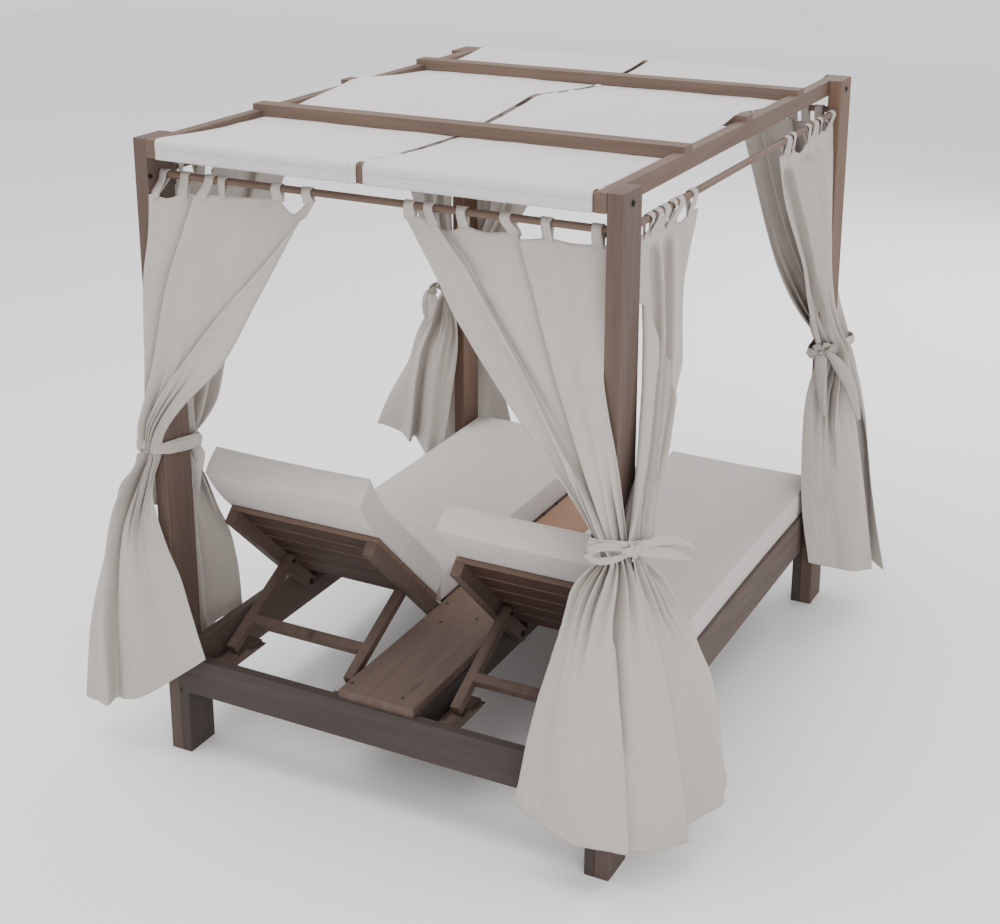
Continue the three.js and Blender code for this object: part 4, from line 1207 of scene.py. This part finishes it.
# The height of the back cushions' undersides above the pivots, just clear of the slats
BACK_UNDER = SLAT_TOP + 0.0011
# The room between a pad and its solid, and how the pads thin toward the fold between them
PAD_ROOM = 0.006
FOLD_REACH = 0.09
SEAT_THINNED = 0.34
BACK_THINNED = 0.37
PAD_CELL = 0.022
EDGE_ROUND = 0.006
SIDE_BELLY = 0.002
SIDE_DRAW = 0.006
# The heights of a panel's broad waves and small wrinkles, of its creases and of its puckered rim
PAD_WAVE = 0.0035
PAD_WRINKLE = 0.0012
PAD_CREASE = 0.0045
RIM_PUCKER = 0.0022
WELT_RADIUS = 0.0018
WELT_STEPS = 48


def cushion_block(bm, size):
    """A box with round edges, cut into a net of small faces. Its map lies flat on each panel."""
    bmesh.ops.create_cube(bm, size=1.0)
    bmesh.ops.scale(bm, vec=size, verts=bm.verts)
    bmesh.ops.bevel(
        bm, geom=bm.edges[:], offset=EDGE_ROUND, affect="EDGES", segments=2, profile=0.5, material=-1,
    )
    for axis in range(3):
        count = max(2, round(size[axis] / PAD_CELL))
        for cut in range(1, count):
            centre, normal = Vector((0, 0, 0)), Vector((0, 0, 0))
            centre[axis] = size[axis] * (cut / count - 0.5)
            normal[axis] = 1
            geometry = bm.verts[:] + bm.edges[:] + bm.faces[:]
            bmesh.ops.bisect_plane(bm, geom=geometry, plane_co=centre, plane_no=normal, dist=1e-5)
    uv = bm.loops.layers.uv.new("cloth")
    for face in bm.faces:
        face.smooth = True
        normal = face.normal
        if abs(normal.z) > 0.7:
            wide, long = 0, 1
        else:
            wide, long = (1, 2) if abs(normal.x) > abs(normal.y) else (0, 2)
        for loop in face.loops:
            loop[uv].uv = (loop.vert.co[wide], loop.vert.co[long])


def make_cushion(kind, side_name, body, size, bend, crown, seed, creases, material):
    """A boxed cushion: size is its width, length and thickness, and bend places its points.
    Its sides draw in between the corners and its top panel is crowned. creases is the place
    along it where the creases across it start, and how far they reach."""
    bm = bmesh.new()
    cushion_block(bm, size)
    start, reach = creases
    for vert in bm.verts:
        x, y, z = vert.co
        # How far from the middle the point lies across, along and up, each from -1 to 1
        a, b, c = (vert.co[axis] * 2 / size[axis] for axis in range(3))
        swell = (max(0.0, 1 - a ** 4) * max(0.0, 1 - b ** 4)) ** 0.8
        wave = uneven(x * 5, y * 5, seed) * PAD_WAVE
        wrinkle = noise.fractal(Vector((x * 16, y * 10, seed + 3)), 0.8, 2.0, 3) * PAD_WRINKLE
        line = (1 - abs(uneven(x * 3.2 + seed, y * 21 + 1.5 * x, seed))) ** 6
        crease = line * max(0.0, 1 - abs(y - start) / reach) * PAD_CREASE
        if c > 0.2:
            z += c * (crown * swell + (wave + wrinkle + crease) * swell ** 0.5)
        belly = SIDE_BELLY * (1 - min(abs(c), 1.0) ** 2)
        draw_x = SIDE_DRAW * (1 - min(abs(b), 1.0) ** 2)
        draw_y = SIDE_DRAW * (1 - min(abs(a), 1.0) ** 2)
        x += (belly - draw_x) * math.copysign(1, x) * abs(a) ** 6
        y += (belly - draw_y) * math.copysign(1, y) * abs(b) ** 6
        if c > 0:
            rim = max(abs(a) ** 12, abs(b) ** 12)
            z += rim * uneven(x * 42, y * 42, seed + c * 2) * RIM_PUCKER
        vert.co = bend(x, y, z + size[2] / 2)
    name = f"{kind}_pad_{side_name}"
    piece = make_piece(name, bm, material, body)
    modifier = piece.modifiers.new("smooth", "SUBSURF")
    modifier.levels = 1
    modifier.render_levels = 1
    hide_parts(f"{kind}_cushion_{side_name}")
    make_welts(name, body, size, bend, material)


def welt_outline(size):
    """The sewn edge of a panel, seen from above: its round corners, and its drawn-in sides."""
    inset = EDGE_ROUND * 0.29
    corner = EDGE_ROUND * 0.9
    reach_x, reach_y = size[0] / 2 - inset - corner, size[1] / 2 - inset - corner
    signs = ((1, 1), (-1, 1), (-1, -1), (1, -1), (1, 1))

    def round_point(turn, share):
        angle = (turn + share) * math.pi / 2
        sx, sy = signs[turn]
        return sx * reach_x + corner * math.cos(angle), sy * reach_y + corner * math.sin(angle)

    outline = []
    for turn in range(4):
        outline += [round_point(turn, step / 4) for step in range(5)]
        start, stop = outline[-1], round_point(turn + 1, 0)
        angle = (turn + 1) * math.pi / 2
        for step in range(1, WELT_STEPS):
            share = step / WELT_STEPS
            draw = SIDE_DRAW * (1 - (2 * share - 1) ** 2)
            outline.append((
                mix(start[0], stop[0], share) - math.cos(angle) * draw,
                mix(start[1], stop[1], share) - math.sin(angle) * draw,
            ))
    return outline


def make_welts(name, body, size, bend, material):
    """A thin rolled seam round the top and the bottom panel of a cushion."""
    bm = bmesh.new()
    outline = welt_outline(size)
    count = len(outline)
    inset = EDGE_ROUND * 0.29
    for level in (size[2] - inset, inset):
        def place(across, down):
            index = down * count
            low = int(index) % count
            high = (low + 1) % count
            share = index - int(index)
            x, y = (mix(outline[low][k], outline[high][k], share) for k in range(2))
            angle = across * 2 * math.pi
            grown = 1 + WELT_RADIUS * math.cos(angle) / math.hypot(x, y)
            return bend(x * grown, y * grown, level + WELT_RADIUS * math.sin(angle))

        lay_grid(bm, 8, count, (0.014, 2 * (size[0] + size[1])), place)
    bmesh.ops.remove_doubles(bm, verts=bm.verts, dist=1e-5)
    bmesh.ops.recalc_face_normals(bm, faces=bm.faces)
    make_piece(f"{name}_welts", bm, material, body)


def make_cushions(material):
    lean_y, lean_z = math.cos(BACKREST_LEAN), math.sin(BACKREST_LEAN)
    for name, side in SIDES:
        low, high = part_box(f"seat_cushion_{name}")
        centre = (low + high) / 2
        size = (high.x - low.x - PAD_ROOM, high.y - low.y - PAD_ROOM, SEAT_THICK)

        def seat(x, y, z):
            fold = max(0.0, 1 - (y + size[1] / 2) / FOLD_REACH)
            thinned = 1 - fold * fold * SEAT_THINNED
            return Vector((centre.x + x, centre.y + y, low.z + z * thinned))

        creases = (-size[1] / 2, 0.75)
        make_cushion("seat", name, ROOT, size, seat, SEAT_CROWN, side * 1.5, creases, material)
        back_node = f"back_cushion_{name}"
        low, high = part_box(back_node)
        middle_x = (low.x + high.x) / 2
        middle_y = (BACK_START + BACK_STOP) / 2
        size = (high.x - low.x - PAD_ROOM, BACK_START - BACK_STOP - PAD_ROOM, BACK_THICK)

        def back(x, y, z):
            curl = max(0.0, (-y - size[1] / 2 + CURL_REACH) / CURL_REACH)
            fold = max(0.0, 1 - (size[1] / 2 - y) / FOLD_REACH)
            thinned = 1 - fold * fold * BACK_THINNED
            along = y + middle_y
            above = z * thinned + curl * curl * CURLS[name] + BACK_UNDER
            return Vector((
                middle_x + x,
                PIVOT_Y + along * lean_y + above * lean_z,
                PIVOT_Z - along * lean_z + above * lean_y,
            ))

        creases = (size[1] / 2, 0.45)
        make_cushion("back", name, back_node, size, back, BACK_CROWN, side * 2.5, creases, material)


# Screws and bolts. Each kind has a radius and a height.
PLANK_SCREW = (0.0062, 0.0012)
PLANK_SCREW_SINK = 0.0006
PLANK_SCREWS = [
    (-0.111, -0.950), (0.070, -0.956), (-0.108, -0.366), (0.032, -0.418), (-0.062, -0.489),
    (-0.089, 0.952), (0.089, 0.952),
]
POST_BOLT = (0.0085, 0.004)
POST_BOLT_Z = 1.9655
ROD_EYE = (0.007, 0.006)
ROD_EYE_INSET = 0.011
ROD_EYE_Z = ROD_Z + 0.001
CLEAT_BOLT = (0.007, 0.003)
CLEAT_BOLT_PLACE = (-0.71, 0.270)
PROP_BOLT = (0.0075, 0.004)
PROP_BOLT_PLACE = (-0.512, 0.477)
# From the end of a prop's pin to the inner face of its leg
PROP_BOLT_INSET = 0.053


def disc(bm, centre, axis, radius, height):
    """A bolt head: a short round with a bevelled rim and a socket."""
    turn = Vector((0, 0, 1)).rotation_difference(axis).to_matrix().to_4x4()
    place = Matrix.Translation(centre) @ turn
    circle = bmesh.ops.create_circle(bm, cap_ends=True, radius=radius, segments=20, matrix=place)
    face = circle["verts"][0].link_faces[0]
    lifted = bmesh.ops.extrude_face_region(bm, geom=[face])["geom"]
    rim = [item for item in lifted if isinstance(item, bmesh.types.BMVert)]
    cap = [item for item in lifted if isinstance(item, bmesh.types.BMFace)]
    bmesh.ops.translate(bm, vec=axis * height, verts=rim)
    for inset, sink in ((0.18, 0), (0.30, 0), (0.02, 0.6)):
        bmesh.ops.inset_region(bm, faces=cap, thickness=radius * inset, depth=-height * sink)


def make_bolts(name, kind, places, material, body=ROOT):
    """One piece of bolts of one kind, each given as its place and the way it faces in x and z."""
    bm = bmesh.new()
    for place, (face_x, face_z) in places:
        disc(bm, place, Vector((face_x, 0, face_z)), *kind)
    make_piece(name, bm, material, body)


def make_fasteners(material):
    screws = [((x, y, PLANK_TOP - PLANK_SCREW_SINK), (0, 1)) for x, y in PLANK_SCREWS]
    posts = []
    eyes = []
    for _, end in ENDS:
        for _, side in SIDES:
            bolt_y = end * (HALF_LENGTH - POST_DEEP / 2)
            eye_y = end * (HALF_LENGTH - ROD_EYE_INSET)
            posts.append(((side * HALF_WIDTH, bolt_y, POST_BOLT_Z), (side, 0)))
            eyes.append(((side * POST_INNER, eye_y, ROD_EYE_Z), (-side, 0)))
    cleats = []
    for name, _ in SIDES:
        for row in ("outer", "inner"):
            face_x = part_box(f"prop_cleat_{row}_{name}")[0].x
            cleats.append(((face_x, *CLEAT_BOLT_PLACE), (-1, 0)))
    make_bolts("plank_screws", PLANK_SCREW, screws, material)
    make_bolts("post_bolts", POST_BOLT, posts, material)
    make_bolts("post_eyes", ROD_EYE, eyes, material)
    make_bolts("cleat_bolts", CLEAT_BOLT, cleats, material)
    for name, side in SIDES:
        low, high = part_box(f"prop_frame_{name}")
        inner, outer = sorted((abs(low.x), abs(high.x)))
        places = [
            ((side * (inner + PROP_BOLT_INSET), *PROP_BOLT_PLACE), (side, 0)),
            ((side * (outer - PROP_BOLT_INSET), *PROP_BOLT_PLACE), (-side, 0)),
        ]
        make_bolts(f"prop_bolts_{name}", PROP_BOLT, places, material, f"prop_{name}")


def dress_frame(steel_finish):
    """Gives every CAD node that stays in sight its material."""
    def paint(node, material):
        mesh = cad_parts[node].data
        mesh.materials.clear()
        mesh.materials.append(material)
        for polygon in mesh.polygons:
            polygon.use_smooth = False

    seed = 0
    for (end_name, _), post_tone in zip(ENDS, ("post", "foot_post")):
        for side_name, _ in SIDES:
            seed += 1
            paint(f"post_{end_name}_{side_name}", wood(post_tone, "z", seed, POST_FADE))
            # The leg blocks and the end rails take the dark tone, which is painted shade
            paint(f"leg_block_{end_name}_{side_name}", wood("dark", "z", seed))
        for node, tone in (("{}_rail", "dark"), ("roof_beam_{}", "beam"), ("curtain_rod_{}", "top")):
            paint(node.format(end_name), wood(tone, "x", seed))
    for side_name, _ in SIDES:
        seed += 1
        # The centre beams take the dark tone and the seat deck the slat tone, both painted shade
        for node, tone, grain in (
            ("side_rail", "rail", "y"), ("centre_beam", "dark", "y"), ("roof_beam", "beam", "y"),
            ("curtain_rod", "top", "y"), ("seat_deck", "slat", "x"),
        ):
            paint(f"{node}_{side_name}", wood(tone, grain, seed))
        paint(f"backrest_{side_name}", backrest_wood(seed))
        paint(f"prop_frame_{side_name}", wood("post", "y", seed + 10))
        for row in ("outer", "inner"):
            paint(f"prop_cleat_{row}_{side_name}", wood("post", "y", seed + 30))
            paint(f"backrest_bolt_{row}_{side_name}", steel_finish)
    for number, name in enumerate(ROOF_BARS):
        paint(f"roof_bar_{name}", wood("beam", "x", number + 20))
    paint("centre_plank", wood("plank", "y", 9, PLANK_FADE))


make_camera()
make_studio()
steel_finish = steel()
dress_frame(steel_finish)
curtain_cloth = cloth("curtain_cloth", colour(181, 174, 168), colour(171, 163, 156), seamed=True)
canopy_cloth = cloth("canopy_cloth", colour(203, 200, 200), colour(194, 191, 190), seamed=True)
cushion_cloth = cloth("cushion_cloth", colour(197, 192, 189), colour(188, 182, 178))
make_canopy(canopy_cloth)
make_cushions(cushion_cloth)
make_curtains(curtain_cloth)
make_fasteners(steel_finish)
